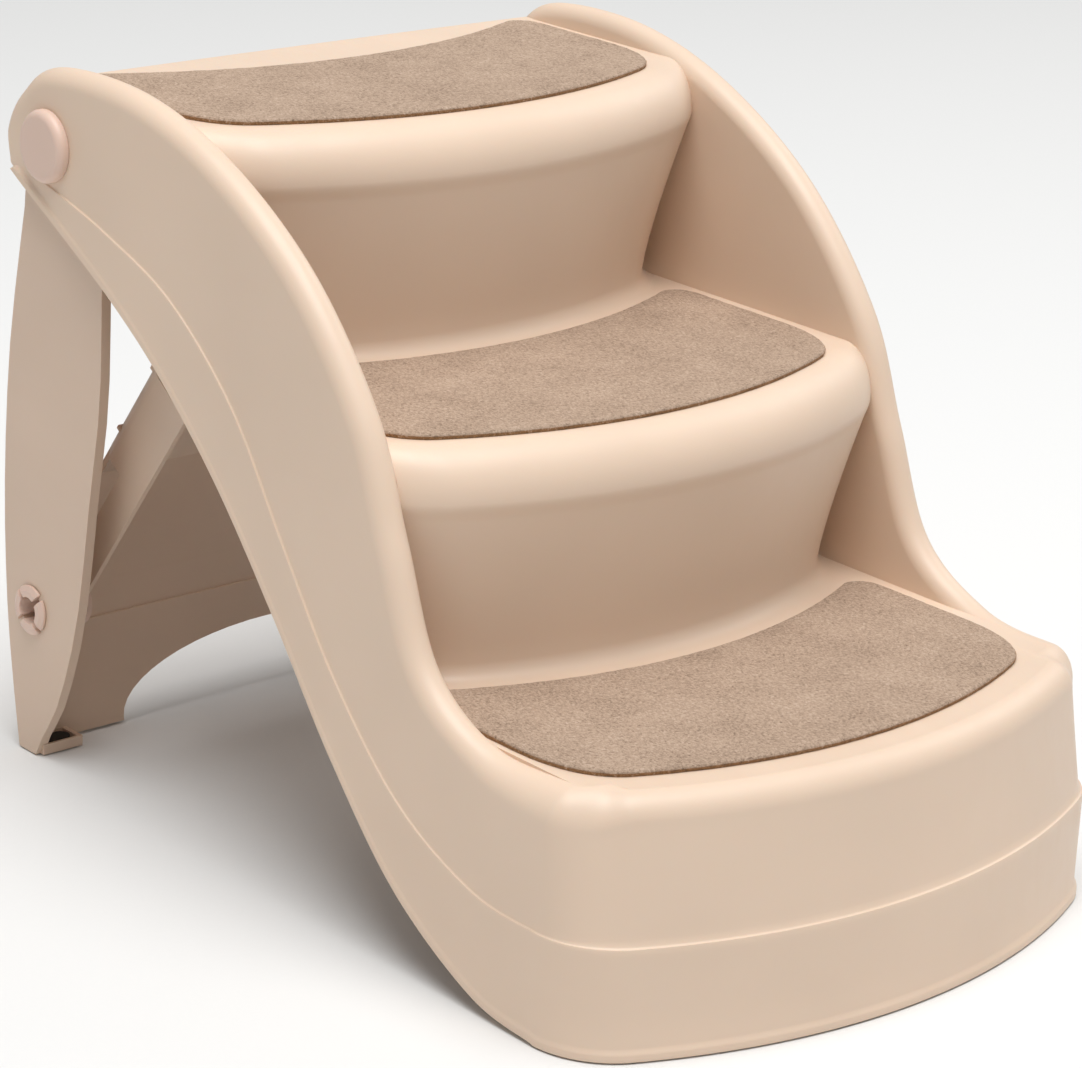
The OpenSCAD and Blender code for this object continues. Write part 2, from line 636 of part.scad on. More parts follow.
// Rear edge of a blade from the heel up to a height
function rear_edge(h) = concat([for (p = concat([heel()], blade_rear())) if (p[1] < h - over) p],
    [[lookup(h, [for (p = blade_rear()) [p[1], p[0]]]), h]]);
ledge_t = 1.5;
module blade(sx) {
    difference() {
        union() {
            side_plate(sx > 0 ? blade_in : -blade_x, sx > 0 ? blade_x : -blade_in, blade_outline());
            side_plate(sx > 0 ? lip_in : -blade_in - over, sx > 0 ? blade_in + over : -lip_in,
                strip(lip_line(), blade_t));
            translate([sx * blade_in, pivot_y, pivot_z]) rotate([0, sx * 90, 0])
                cylinder(h = blade_t + blade_gap - side_fit, r = 2 * shaft_r, $fn = 64);
            translate([sx * blade_in, hub_y, hub_z]) rotate([0, -sx * 90, 0])
                cylinder(h = blade_t, r = 1.5 * pin_r, $fn = 64);
        }
        translate([sx * (lip_in - over), pivot_y, pivot_z]) rotate([0, sx * 90, 0])
            cylinder(h = lip_w + blade_gap + 2 * over, r = shaft_r + run_fit, $fn = 64);
        translate([sx * (lip_in - over), hub_y, hub_z]) rotate([0, sx * 90, 0])
            cylinder(h = lip_w + 2 * over, r = pin_r + run_fit, $fn = 64);
    }
}
leg_foot_x = blade_in - pocket_w / 2;
leg_foot_y = heel()[0] - skin - ledge_t - over - foot_w / 2;
module foot_pocket(sx) {
    depth = foot_w + 2 * skin;
    difference() {
        translate([sx > 0 ? blade_in - pocket_w : -blade_in, leg_foot_y - depth / 2, foot_out])
            cube([pocket_w, depth, 2 * skin]);
        translate([sx > 0 ? blade_in - pocket_w + skin : -blade_in + skin / 2,
            leg_foot_y - depth / 2 + skin / 2, foot_out + shelf_t])
            cube([pocket_w - 1.5 * skin, depth - skin, 2 * skin]);
        translate([sx * leg_foot_x, leg_foot_y, foot_out - over])
            stadium(foot_l - 2 * foot_lip + 2 * side_fit, foot_w - 2 * foot_lip + 2 * side_fit,
                shelf_t + 2 * over, 32);
    }
}
// Arch under the panel: half of an ellipse drawn as a polygon, seen from the front
arch_n = 24;
function arch_points() = concat([[-arch_w / 2, -over]],
    [for (i = [0:arch_n]) let (a = 180 - 180 * i / arch_n)
        [arch_w / 2 * cos(a), foot_out + arch_foot + (arch_h - arch_foot) * sin(a)]],
    [[arch_w / 2, -over]]);
arch_foot = 3;
module rear_leg() {
    color(cream) translate([0, -mid_y, 0]) {
        for (sx = [-1, 1]) {
            blade(sx);
            foot_pocket(sx);
        }
        difference() {
            union() {
                side_plate(-blade_in, blade_in, strip(rear_edge(panel_h), skin));
                side_plate(-blade_in, blade_in, strip(rear_edge(ledge_h), skin + ledge_t));
            }
            translate([0, leg_rear_y + over, 0]) rotate([90, 0, 0])
                linear_extrude(leg_rear_y - toe()[0]) polygon(arch_points());
        }
    }
}
module leg_foot(sx) {
    color(rubber) translate([sx * leg_foot_x, leg_foot_y - mid_y, 0]) rubber_foot(shelf_t);
}
module leg_foot_left() {
    leg_foot(-1);
}
module leg_foot_right() {
    leg_foot(1);
}

// The brace in its own frame: y runs from the hubs up to its end, z towards the rear
brace_half = brace_w / 2;
brace_front = -0.4 * arm_d;
brace_corner_r = 11;
brace_rear = brace_front + brace_d;
arm_rear = brace_front + arm_d;
web_start = 0.72 * arm_len;
// The upper end is narrower and shallower than the rest
taper_l = 62;
taper_in = 70;
taper_up = 15;
taper_start = brace_len - taper_l;
hub_end_r = 13;
module brace_frame() {
    translate([0, hub_y - mid_y, hub_z]) rotate([180 - brace_angle, 0, 0]) mirror([0, 0, 1])
        children();
}
function channel_points(half, r, rear) = concat([[-half, brace_front - over]],
    [for (i = [0:6]) let (a = 180 - 15 * i)
        [-half + r + r * cos(a), rear - r + r * sin(a)]],
    [for (i = [0:6]) let (a = 90 - 15 * i)
        [half - r + r * cos(a), rear - r + r * sin(a)]],
    [[half, brace_front - over]]);
module channel(half, r, rear) {
    translate([0, brace_len + over, 0]) rotate([90, 0, 0])
        linear_extrude(brace_len + 3 * hub_end_r) polygon(channel_points(half, r, rear));
}
// Plan of the brace, set in by t
module brace_plan(t) {
    h = brace_half + over - t;
    translate([0, 0, brace_front - 2 * over]) linear_extrude(brace_d + 4 * over)
        polygon([[-h, -2 * hub_end_r], [h, -2 * hub_end_r], [h, taper_start - t / 2],
            [h - taper_in - over, brace_len - t], [-h + taper_in + over, brace_len - t],
            [-h, taper_start - t / 2]]);
}
module brace_side(x0, x1, pts) {
    translate([x0, 0, 0]) rotate([90, 0, 90]) linear_extrude(x1 - x0) polygon(pts);
}
ear_r = 12;
function brace_end(t) = [[taper_start, brace_rear - t], [brace_len - t, brace_rear - taper_up - t]];
function flange_outline() = concat(
    [for (i = [0:8]) let (a = 270 - 22.5 * i) [hub_end_r * cos(a), hub_end_r * sin(a)]],
    [[hub_end_r * 1.2, arm_rear], [arm_len - ear_r / 2, arm_rear]],
    [for (i = [0:4]) let (a = 180 - 22.5 * i)
        [arm_len + ear_r / 2 + ear_r * cos(a), brace_rear - ear_r + ear_r * sin(a)]],
    brace_end(0), [[brace_len, brace_front], [hub_end_r * 1.2, brace_front]]);
module locking_brace() {
    color(cream) brace_frame() difference() {
        union() {
            intersection() {
                difference() {
                    intersection() {
                        channel(brace_half, brace_corner_r, brace_rear);
                        brace_plan(0);
                    }
                    intersection() {
                        channel(brace_half - skin, brace_corner_r - skin, brace_rear - skin);
                        brace_plan(skin);
                        brace_side(-brace_half, brace_half, concat(
                            [[-3 * hub_end_r, brace_front - over], [-3 * hub_end_r, brace_rear - skin]],
                            brace_end(skin), [[brace_len - skin, brace_front - over]]));
                    }
                }
                union() {
                    brace_side(-brace_half - over, brace_half + over, flange_outline());
                    brace_side(-brace_half + brace_corner_r / 2, brace_half - brace_corner_r / 2,
                        concat([[web_start, brace_front], [web_start, brace_rear]], brace_end(0),
                            [[brace_len, brace_front]]));
                }
            }
            for (sx = [-1, 1]) translate([sx * (brace_half - skin), 0, 0]) rotate([0, sx * 90, 0])
                cylinder(h = blade_in - blade_t - brace_half + skin - side_fit, r = 1.4 * pin_r, $fn = 64);
            for (y = [0.5, 0.72]) translate([-brace_half + skin / 2, y * brace_len, brace_rear - 3 * skin])
                cube([brace_w - skin, rib_t, 2 * skin + over]);
        }
        for (sx = [-1, 1]) translate([sx * (brace_half - 2 * skin), 0, 0]) rotate([0, sx * 90, 0])
            cylinder(h = blade_in - brace_half + 2 * skin, r = pin_r + run_fit, $fn = 64);
    }
}

pin_bore_r = 0.75 * pin_r;
claw_h = 3;
module brace_pin(sx) {
    reach = blade_x + side_fit - brace_half + skin + side_fit;
    color(cream) on_side(sx, brace_half - skin - side_fit, hub_y, hub_z) difference() {
        rotate_extrude($fn = 64) polygon([[pin_bore_r, -skin], [1.4 * pin_r, -skin], [1.4 * pin_r, 0],
            [pin_r, 0], [pin_r, reach], [claw_r, reach], [claw_r, reach + claw_h / 2],
            [1.1 * pin_r, reach + claw_h], [pin_bore_r, reach + claw_h]]);
        for (a = [45, 135]) rotate([0, 0, a])
            translate([-claw_r - over, -claw_slot / 2, reach - 3 * claw_h])
            cube([2 * claw_r + 2 * over, claw_slot, 5 * claw_h]);
    }
}
claw_slot = 3;
module brace_pin_left() {
    brace_pin(-1);
}
module brace_pin_right() {
    brace_pin(1);
}

stair_body();
tread_mat_1();
tread_mat_2();
tread_mat_3();
mat_tape_1();
mat_tape_2();
mat_tape_3();
pivot_knob_left();
pivot_knob_right();
pivot_washer_left();
pivot_washer_right();
pivot_screw_left();
pivot_screw_right();
front_foot_left();
front_foot_right();
rear_leg();
leg_foot_left();
leg_foot_right();
locking_brace();
brace_pin_left();
brace_pin_right();
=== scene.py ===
"""Folding pet stairs: a moulded plastic shell with three felt mats, a folding rear leg and its brace."""

import math

import bmesh
import bpy
import numpy as np
from bpy.props import FloatProperty, FloatVectorProperty, PointerProperty
from mathutils import Matrix, Vector, noise


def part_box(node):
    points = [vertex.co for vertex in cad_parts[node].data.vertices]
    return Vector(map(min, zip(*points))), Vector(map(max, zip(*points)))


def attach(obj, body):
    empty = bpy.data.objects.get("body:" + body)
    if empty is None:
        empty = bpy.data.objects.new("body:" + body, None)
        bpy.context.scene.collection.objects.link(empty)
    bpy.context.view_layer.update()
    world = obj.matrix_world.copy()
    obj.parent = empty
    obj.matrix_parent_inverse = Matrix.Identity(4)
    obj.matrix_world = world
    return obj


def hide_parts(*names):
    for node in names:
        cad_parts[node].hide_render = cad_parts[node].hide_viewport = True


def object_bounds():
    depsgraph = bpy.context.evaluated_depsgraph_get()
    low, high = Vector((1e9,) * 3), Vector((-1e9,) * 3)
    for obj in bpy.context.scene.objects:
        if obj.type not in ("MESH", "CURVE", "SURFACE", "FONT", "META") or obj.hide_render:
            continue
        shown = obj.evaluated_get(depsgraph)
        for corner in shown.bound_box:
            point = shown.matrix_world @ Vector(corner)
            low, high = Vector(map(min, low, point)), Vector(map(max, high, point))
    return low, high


bl_info = {
    "name": "Folding pet stairs",
    "version": (1, 0, 0),
    "blender": (4, 5, 0),
    "location": "3D View > Sidebar > Pet stairs",
    "description": "Dresses the packed pet stairs with moulded plastic, felt mats and rubber feet",
    "category": "Object",
}

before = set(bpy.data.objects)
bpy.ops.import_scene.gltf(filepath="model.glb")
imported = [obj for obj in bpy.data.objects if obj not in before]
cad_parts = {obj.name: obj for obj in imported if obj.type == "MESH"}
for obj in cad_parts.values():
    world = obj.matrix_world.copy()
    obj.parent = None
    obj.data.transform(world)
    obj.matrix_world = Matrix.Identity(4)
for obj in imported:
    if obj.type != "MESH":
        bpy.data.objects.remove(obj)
CAD_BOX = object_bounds()
BODY_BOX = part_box("stair_body")
MM = 0.001
STEPS = 3
SIDES = (("left", -1), ("right", 1))
# Overrun of a cut and the gap round a fitted part, in millimetres
OVER = 1.0
SIDE_FIT = 0.3

# Side wall seen from the side, in shares of the run and the rise, from the tip behind
# the pivot to the front corner: top, bead line and lower edge
CREST_SHARE = (
    (3.186, 2.634), (3.216, 2.784), (3.142, 2.95), (2.954, 3.086), (2.48, 3.09), (2.02, 2.93),
    (1.57, 2.604), (1.22, 2.133), (1.048, 1.668), (0.874, 1.218), (0.57, 1.013), (0.24, 1.0),
)
BAND_SHARE = (
    (3.166, 2.632), (3.113, 2.644), (3.013, 2.612), (2.89, 2.584), (2.585, 2.484), (2.215, 2.308),
    (1.864, 1.968), (1.57, 1.492), (1.28, 1.038), (0.934, 0.656), (0.556, 0.456), (0.24, 0.428),
)
EDGE_SHARE = (
    (3.155, 2.61), (3.113, 2.58), (3.033, 2.528), (2.88, 2.432), (2.543, 2.208), (2.245, 1.96),
    (1.914, 1.6), (1.59, 1.16), (1.278, 0.7), (0.927, 0.284), (0.53, 0.024), (0.24, -0.028),
)
# The roll along the crest flattens out over this share of the wall, before the tip
TIP_SHARE = 0.267
TIP_FLAT = 0.25


def linear(code):
    """sRGB hex colour as linear red, green and blue."""
    parts = [int(code[i : i + 2], 16) / 255 for i in (1, 3, 5)]
    return tuple(p / 12.92 if p <= 0.04045 else ((p + 0.055) / 1.055) ** 2.4 for p in parts)


def length(name, description, mm):
    return FloatProperty(
        name=name, description=description, default=mm * MM, min=0.0, unit="LENGTH", precision=4
    )


def colour(name, description, code):
    return FloatVectorProperty(
        name=name, description=description, default=linear(code), subtype="COLOR", size=3, min=0.0,
        max=1.0,
    )


class PETSTAIRS_PG_shell(bpy.types.PropertyGroup):
    """Sizes of the moulded shell."""

    rise: length("Rise", "Height of one step", 125)
    run: length("Run", "Depth of one step, from nose to nose", 151)
    first_rise: length("First rise", "Height of the first tread above the floor", 130)
    front_radius: length("Front radius", "Radius of the curved front of each step", 322)
    corner_radius: length("Corner radius", "Corner radius of each step", 47)
    nose_out: length("Nose", "How far a nose stands in front of its mat", 26)
    nose_drop: length("Nose depth", "Depth of a nose's rounded face", 26)
    riser_foot_out: length("Riser foot", "How far the foot of a riser stands out", 8)
    riser_head_out: length("Riser head", "How far the top of a riser stands out", 23)
    cove_r: length("Cove", "Radius between a tread and the riser behind it", 9)
    body_w: length("Width", "Width over the bottom rim", (BODY_BOX[1].x - BODY_BOX[0].x) / MM)
    skin: length("Skin", "Thickness of the moulding", 3)
    side_w: length("Side wall", "Thickness of a hollow side wall", 18.5)
    roll_out: length("Crest roll", "Radius of the roll along a side wall", 10)
    front_roll: length("Front roll", "Radius of the first step's front edge", 13)
    front_out: length("Front", "How far the bottom front stands in front of the first mat", 42)
    body_corner_r: length("Body corner", "Plan radius of the front corners", 48)
    front_lean: length("Lean", "Lean of the front skirt, from rim to top", 10)
    rim_out: length("Rim", "How far the bottom rim stands out", 2)
    rim_h: length("Rim height", "Height of the bottom rim", 4)
    band_out: length("Band", "How far the lower band stands out", 1.3)
    band_back: length("Band step", "How far the skirt stands back above the band, in front", 2.4)
    band_h: length("Band height", "Height of the front band's upper edge", 58.5)
    apron_h: length("Apron", "Depth of the apron behind the top tread", 26)
    rib_h: length("Rib height", "Height of the ribs below the treads", 10)
    rib_t: length("Rib thickness", "Thickness of the ribs below the treads", 2.4)
    bead_soft: length("Bead", "Height of the soft shoulder over the band, on the sides", 1.8)
    bead_soft_front: length("Front bead", "Height of the soft shoulder over the band, in front", 7.5)


class PETSTAIRS_PG_fittings(bpy.types.PropertyGroup):
    """Sizes of the knobs, the leg's stops and the feet's seats."""

    pivot_y: length("Pivot place", "Distance of the pivot behind the first mat's front edge", 444.5)
    pivot_z: length("Pivot height", "Height of the pivot above the floor", 350.5)
    knob_r: length("Knob", "Radius of a pivot knob's head", 19.5)
    knob_h: length("Knob height", "Height of a pivot knob's head", 6.5)
    knob_round: length("Knob edge", "Rounding of a knob's edge", 4.4)
    shaft_r: length("Shaft", "Radius of a pivot knob's shaft", 8)
    blade_head_r: length("Leg head", "Radius of the leg's head round the pivot", 29)
    foot_out: length("Foot", "How far the rubber feet stand out below the plastic", 0.8)
    foot_l: length("Foot length", "Length of a rubber foot", 20)
    foot_w: length("Foot width", "Width of a rubber foot", 11)
    edge_soft: length("Soft edge", "Rounding of the moulded edges of leg and brace", 0.7)


class PETSTAIRS_PG_mats(bpy.types.PropertyGroup):
    """Sizes of the felt mats."""

    mat_t: length("Thickness", "Thickness of a felt mat", 3)
    mat_d: length("Depth", "Depth of a mat", 127)
    mat_gap: length("Left gap", "Gap between a mat's left side and the side wall", 2.5)
    mat_gap_right: length("Right gap", "Gap between a mat's right side and the side wall", 11.5)
    mat_rear_r: length("Rear corners", "Radius of a mat's rear corners", 14)
    edge_r: length("Edge", "Rounding of a mat's worn upper edge", 1.3)
    nap: length("Nap", "Unevenness of a mat's surface", 0.3)
    fray: length("Fray", "Unevenness of a mat's cut edge", 0.35)


class PETSTAIRS_PG_finish(bpy.types.PropertyGroup):
    """Colours of the materials."""

    shell: colour("Shell", "Polypropylene of the shell", "#E1C9B3")
    leg: colour("Leg", "Polypropylene of the leg and the brace", "#D8BFAA")
    knob: colour("Knob", "Polypropylene of the pivot knobs", "#DEC2B2")
    felt_light: colour("Felt, light", "Light fibres of the felt", "#CDB8A6")
    felt_mid: colour("Felt, middle", "Main fibres of the felt", "#A8917E")
    felt_dark: colour("Felt, dark", "Dark fibres of the felt", "#76604F")
    # Colour of a mat's cut sides, darker and browner than the top felt: partly the frayed fibres' own tone,
    # partly painted shade of the side faces
    felt_edge_painted_shade: colour("Felt edge", "Frayed fibres along a cut edge", "#94714F")
    rubber: colour("Rubber", "Rubber of the feet", "#151312")
    tape: colour("Tape", "Fastening tape under the mats", "#57514C")
    steel: colour("Steel", "Zinc on the screws and washers", "#B9BBC0")
    floor: colour("Floor", "Paper floor of the stage", "#E6E6E5")


def in_mm(*groups):
    """Every length of some property groups, in millimetres, by name."""
    made = {}
    for group in groups:
        for key, prop in group.bl_rna.properties.items():
            if prop.type == "FLOAT" and prop.unit == "LENGTH":
                made[key] = round(getattr(group, key) / MM, 5)
    return made


# Nodes and materials


def rgba(values, gain=1.0):
    return tuple(min(1.0, v * gain) for v in values[:3]) + (1.0,)


def grey(value):
    return (value, value, value, 1.0)


def add(tree, kind, inputs=None, **settings):
    """Adds one node with its settings. An input is a number, a colour or another node's socket."""
    made = tree.nodes.new(kind)
    for key, value in settings.items():
        setattr(made, key, value)
    for key, value in (inputs or {}).items():
        if isinstance(value, bpy.types.NodeSocket):
            tree.links.new(value, made.inputs[key])
        else:
            made.inputs[key].default_value = value
    return made


def ramp(tree, value, stops):
    """Colour of a ramp with these stops of place and colour."""
    node = add(tree, "ShaderNodeValToRGB", {"Fac": value})
    elements = node.color_ramp.elements
    elements[0].position, elements[0].color = stops[0]
    elements[1].position, elements[1].color = stops[-1]
    for place, shade in stops[1:-1]:
        elements.new(place).color = shade
    return node.outputs["Color"]


def per_metre(mm):
    """Scale of a pattern in metres whose features have this size in millimetres."""
    return 1.0 / (mm * MM)


def cloud(tree, place, mm, detail, **more):
    """Value of a noise with features of this size in millimetres."""
    inputs = {"Vector": place, "Scale": per_metre(mm), "Detail": detail, **more}
    return add(tree, "ShaderNodeTexNoise", inputs).outputs["Fac"]


def drawn(tree, place, scale, turn=(0.0, 0.0, 0.0)):
    """Place in the object, drawn out and turned."""
    return add(tree, "ShaderNodeMapping", {"Vector": place, "Scale": scale, "Rotation": turn}).outputs[0]


def uneven(tree, height, strength, mm, **more):
    """Normal of a surface that is uneven by this many millimetres."""
    inputs = {"Height": height, "Strength": strength, "Distance": mm * MM, **more}
    return add(tree, "ShaderNodeBump", inputs).outputs[0]


def between(tree, value, **limits):
    """A value moved into other limits."""
    inputs = {"Value": value, **{key.replace("_", " "): limit for key, limit in limits.items()}}
    return add(tree, "ShaderNodeMapRange", inputs).outputs[0]


def new_material(name):
    """Material without nodes, its node tree and the place in the object."""
    made = bpy.data.materials.new(name)
    made.use_nodes = True
    tree = made.node_tree
    tree.nodes.clear()
    return made, tree, add(tree, "ShaderNodeTexCoord").outputs["Object"]


def surface(tree, shade, roughness, inputs):
    """Gives a material its surface."""
    inputs = {"Base Color": shade, "Roughness": roughness, **inputs}
    shader = add(tree, "ShaderNodeBsdfPrincipled", inputs)
    add(tree, "ShaderNodeOutputMaterial", {"Surface": shader.outputs[0]})


def moulded_polypropylene(name, tint):
    """Polypropylene, moulded in a finely blasted tool: a broad satin gloss, faint orange peel
    and slow sink marks, and light that soaks a few millimetres into the wall."""
    made, tree, place = new_material(name)
    # Orange peel is about 0.4 mm wide, drawn at 1.5 mm so that it shows
    peel = cloud(tree, place, 1.5, 3.0)
    # Sink marks and uneven cooling, a hand's width apart
    sink = cloud(tree, place, 85, 1.5)
    # Scuffs from handling, long and thin
    scuff = cloud(tree, drawn(tree, place, (1.0, 0.14, 0.5), (0.4, 0.3, 0.5)), 9, 5.0, Roughness=0.6)
    rough = between(tree, scuff, From_Min=0.35, From_Max=0.7, To_Min=0.40, To_Max=0.50)
    shade = ramp(tree, sink, [(0.3, rgba(tint, 0.97)), (0.7, rgba(tint, 1.015))])
    slow = uneven(tree, sink, 0.25, 1.2)
    inputs = {
        "Normal": uneven(tree, peel, 0.12, 0.08, Normal=slow),
        "IOR": 1.49,
        "Subsurface Weight": 0.1,
        "Subsurface Radius": (1.0, 0.42, 0.2),
        "Subsurface Scale": 2.5 * MM,
    }
    surface(tree, shade, rough, inputs)
    return made


def needle_felt(name, light, mid, dark, fuzz):
    """Polyester needle-punched to a felt: matt, mottled by crossing fibres of several shades."""
    made, tree, place = new_material(name)

    def fibres(mm, turn, draw):
        way = drawn(tree, place, (1.0, draw, 1.0), (0.0, 0.0, turn))
        return cloud(tree, way, mm, 4.0, Roughness=0.62, Distortion=0.8)

    def more(value, share, rest):
        return add(tree, "ShaderNodeMath", {0: value, 1: share, 2: rest}, operation="MULTIPLY_ADD").outputs[0]

    # Fibres are about 0.03 mm thick; their tangles are drawn 1 to 2 mm wide so that they show
    first, second, third = fibres(1.2, 0.5, 0.7), fibres(1.0, 1.9, 0.7), fibres(1.9, 2.8, 0.8)
    wide = cloud(tree, place, 28, 2.0)
    pair = add(tree, "ShaderNodeMath", {0: first, 1: second}, operation="ADD").outputs[0]
    spread = between(tree, more(wide, 0.35, more(third, 0.9, pair)), From_Min=1.25, From_Max=2.0)
    stops = [(0.0, rgba(dark)), (0.36, rgba(mid)), (0.62, rgba(mid, 1.25)), (1.0, rgba(light))]
    shade = ramp(tree, spread, stops)
    inputs = {
        "Normal": uneven(tree, spread, 0.7, fuzz),
        "IOR": 1.45,
        "Specular IOR Level": 0.15,
        "Sheen Weight": 0.25,
        "Sheen Roughness": 0.6,
        "Sheen Tint": rgba(light),
    }
    surface(tree, shade, 0.95, inputs)
    return made


def moulded_rubber(name, tint):
    """EPDM rubber, pressed in a matt mould: dull, with a fine grain."""
    made, tree, place = new_material(name)
    # Grain about 0.3 mm wide, drawn at 0.6 mm so that it shows
    grain = cloud(tree, place, 0.6, 3.0)
    shade = ramp(tree, grain, [(0.35, rgba(tint, 0.8)), (0.7, rgba(tint, 1.5))])
    surface(tree, shade, 0.62, {"Normal": uneven(tree, grain, 0.3, 0.1), "IOR": 1.52})
    return made


def zinc_plated_steel(name, tint):
    """Steel, turned and then zinc plated: bright, with turning marks and a milky haze."""
    made, tree, place = new_material(name)
    # Turning marks 0.4 mm apart
    marks = cloud(tree, drawn(tree, place, (0.2, 1.0, 1.0)), 0.4, 2.0)
    haze = cloud(tree, place, 4, 3.0)
    shade = ramp(tree, haze, [(0.3, rgba(tint, 0.85)), (0.7, rgba(tint, 1.1))])
    rough = between(tree, haze, To_Min=0.24, To_Max=0.45)
    surface(tree, shade, rough, {"Metallic": 1.0, "Normal": uneven(tree, marks, 0.2, 0.03)})
    return made


def woven_tape(name, tint):
    """Nylon hook tape, woven: rows of small hooks 1.2 mm apart on a flat weave."""
    made, tree, place = new_material(name)
    rows = []
    for way in "XY":
        inputs = {"Vector": place, "Scale": per_metre(1.2) / (2 * math.pi) * 0.5, "Distortion": 1.0}
        rows.append(add(tree, "ShaderNodeTexWave", inputs, bands_direction=way).outputs["Fac"])
    hooks = add(tree, "ShaderNodeMath", {0: rows[0], 1: rows[1]}, operation="MULTIPLY").outputs[0]
    shade = ramp(tree, hooks, [(0.1, rgba(tint, 0.6)), (0.8, rgba(tint, 1.4))])
    surface(tree, shade, 0.8, {"Normal": uneven(tree, hooks, 0.6, 0.3), "IOR": 1.53})
    return made


def matt_paper(name, tint):
    """Coated paper on a roll, matt: white with a barely visible fibre cloud."""
    made, tree, place = new_material(name)
    shade = ramp(tree, cloud(tree, place, 3, 3.0), [(0.2, rgba(tint, 0.99)), (0.8, rgba(tint, 1.0))])
    surface(tree, shade, 0.9, {"IOR": 1.5})
    return made


def finish_of(key):
    """The material of one finish, made once."""
    look = bpy.context.scene.pet_stairs_finish
    light, dark = look.felt_light, look.felt_dark
    makers = {
        "shell": lambda: moulded_polypropylene("moulded_polypropylene_shell", look.shell),
        "leg": lambda: moulded_polypropylene("moulded_polypropylene_leg", look.leg),
        "knob": lambda: moulded_polypropylene("moulded_polypropylene_knob", look.knob),
        "felt": lambda: needle_felt("needle_felt", light, look.felt_mid, dark, 0.9),
        # The cut sides get a darker, browner felt: the frayed fibres' tone with painted shade in it
        "felt_edge_painted_shade": lambda: needle_felt("frayed_felt_edge_painted_shade", light, look.felt_edge_painted_shade, dark, 1.2),
        "rubber": lambda: moulded_rubber("moulded_epdm_rubber", look.rubber),
        "tape": lambda: woven_tape("woven_hook_tape", look.tape),
        "steel": lambda: zinc_plated_steel("zinc_plated_steel", look.steel),
        "floor": lambda: matt_paper("matt_white_paper", look.floor),
    }
    found = bpy.data.materials.get("finish_" + key)
    if found is None:
        found = makers[key]()
        found.name = "finish_" + key
    return found


# Meshes


def new_object(name, verts, faces, keys=(), slots=None):
    """Object from points in millimetres, with its materials and the slot of each face."""
    mesh = bpy.data.meshes.new(name)
    mesh.from_pydata([tuple(c * MM for c in p) for p in verts], [], [tuple(f) for f in faces])
    for key in keys:
        mesh.materials.append(finish_of(key))
    if slots is not None:
        mesh.polygons.foreach_set("material_index", slots)
    made = bpy.data.objects.new(name, mesh)
    bpy.context.scene.collection.objects.link(made)
    return made


def tidy_normals(obj):
    bm = bmesh.new()
    bm.from_mesh(obj.data)
    bmesh.ops.recalc_face_normals(bm, faces=bm.faces)
    bm.to_mesh(obj.data)
    bm.free()
    return obj


def smooth(obj, degrees):
    """Smooth shading, with sharp edges where two faces meet at more than this angle."""
    obj.data.polygons.foreach_set("use_smooth", [True] * len(obj.data.polygons))
    obj.data.set_sharp_from_angle(angle=math.radians(degrees))
    obj.data.update()
    return obj


def bake_modifiers(obj):
    made = bpy.data.meshes.new_from_object(obj.evaluated_get(bpy.context.evaluated_depsgraph_get()))
    old = obj.data
    obj.modifiers.clear()
    obj.data = made
    bpy.data.meshes.remove(old)


def combine(base, others, operation):
    """Boolean of one solid with several others, which are used up."""
    for other in others:
        step = base.modifiers.new("join", "BOOLEAN")
        step.object = other
        step.operation = operation
        step.solver = "MANIFOLD"
        bake_modifiers(base)
        old = other.data
        bpy.data.objects.remove(other)
        bpy.data.meshes.remove(old)
    return base


def loft(name, loops, centre_caps):
    """Closed solid through a list of loops with equal numbers of points."""
    loops = np.asarray(loops, float)
    n, m = loops.shape[:2]
    verts = list(loops.reshape(-1, 3))
    faces = [
        (i * m + j, i * m + (j + 1) % m, (i + 1) * m + (j + 1) % m, (i + 1) * m + j)
        for i in range(n - 1)
        for j in range(m)
    ]
    for first, loop, flip in ((0, loops[0], True), ((n - 1) * m, loops[-1], False)):
        if centre_caps:
            verts.append(loop.mean(0))
            ring = [(first + j, first + (j + 1) % m, len(verts) - 1) for j in range(m)]
            faces += [r[::-1] for r in ring] if flip else ring
        else:
            ring = [first + j for j in range(m)]
            faces.append(ring[::-1] if flip else ring)
    return tidy_normals(new_object(name, verts, faces))


def ring_points(centre, axis, r, n):
    """Points of a circle about an axis: 0 for x, 1 for y and 2 for z."""
    made = []
    for i in range(n):
        a = 2 * math.pi * i / n
        p = [r * math.cos(a), r * math.sin(a)]
        p.insert(axis, 0.0)
        made.append([c + q for c, q in zip(centre, p)])
    return made


def hull(name, points):
    """Convex solid round some points."""
    bm = bmesh.new()
    for p in points:
        bm.verts.new([c * MM for c in p])
    made = bmesh.ops.convex_hull(bm, input=bm.verts)
    inside = {e for e in made["geom_interior"] + made["geom_unused"] if isinstance(e, bmesh.types.BMVert)}
    bmesh.ops.delete(bm, geom=list(inside), context="VERTS")
    bmesh.ops.recalc_face_normals(bm, faces=bm.faces)
    mesh = bpy.data.meshes.new(name)
    bm.to_mesh(mesh)
    bm.free()
    obj = bpy.data.objects.new(name, mesh)
    bpy.context.scene.collection.objects.link(obj)
    return obj


def discs(name, axis, n, places):
    """Convex solid round some discs about an axis, each with its centre and radius."""
    return hull(name, [p for centre, r in places for p in ring_points(centre, axis, r, n)])


def ease(u):
    u = max(0.0, min(1.0, u))
    return u * u * (3 - 2 * u)


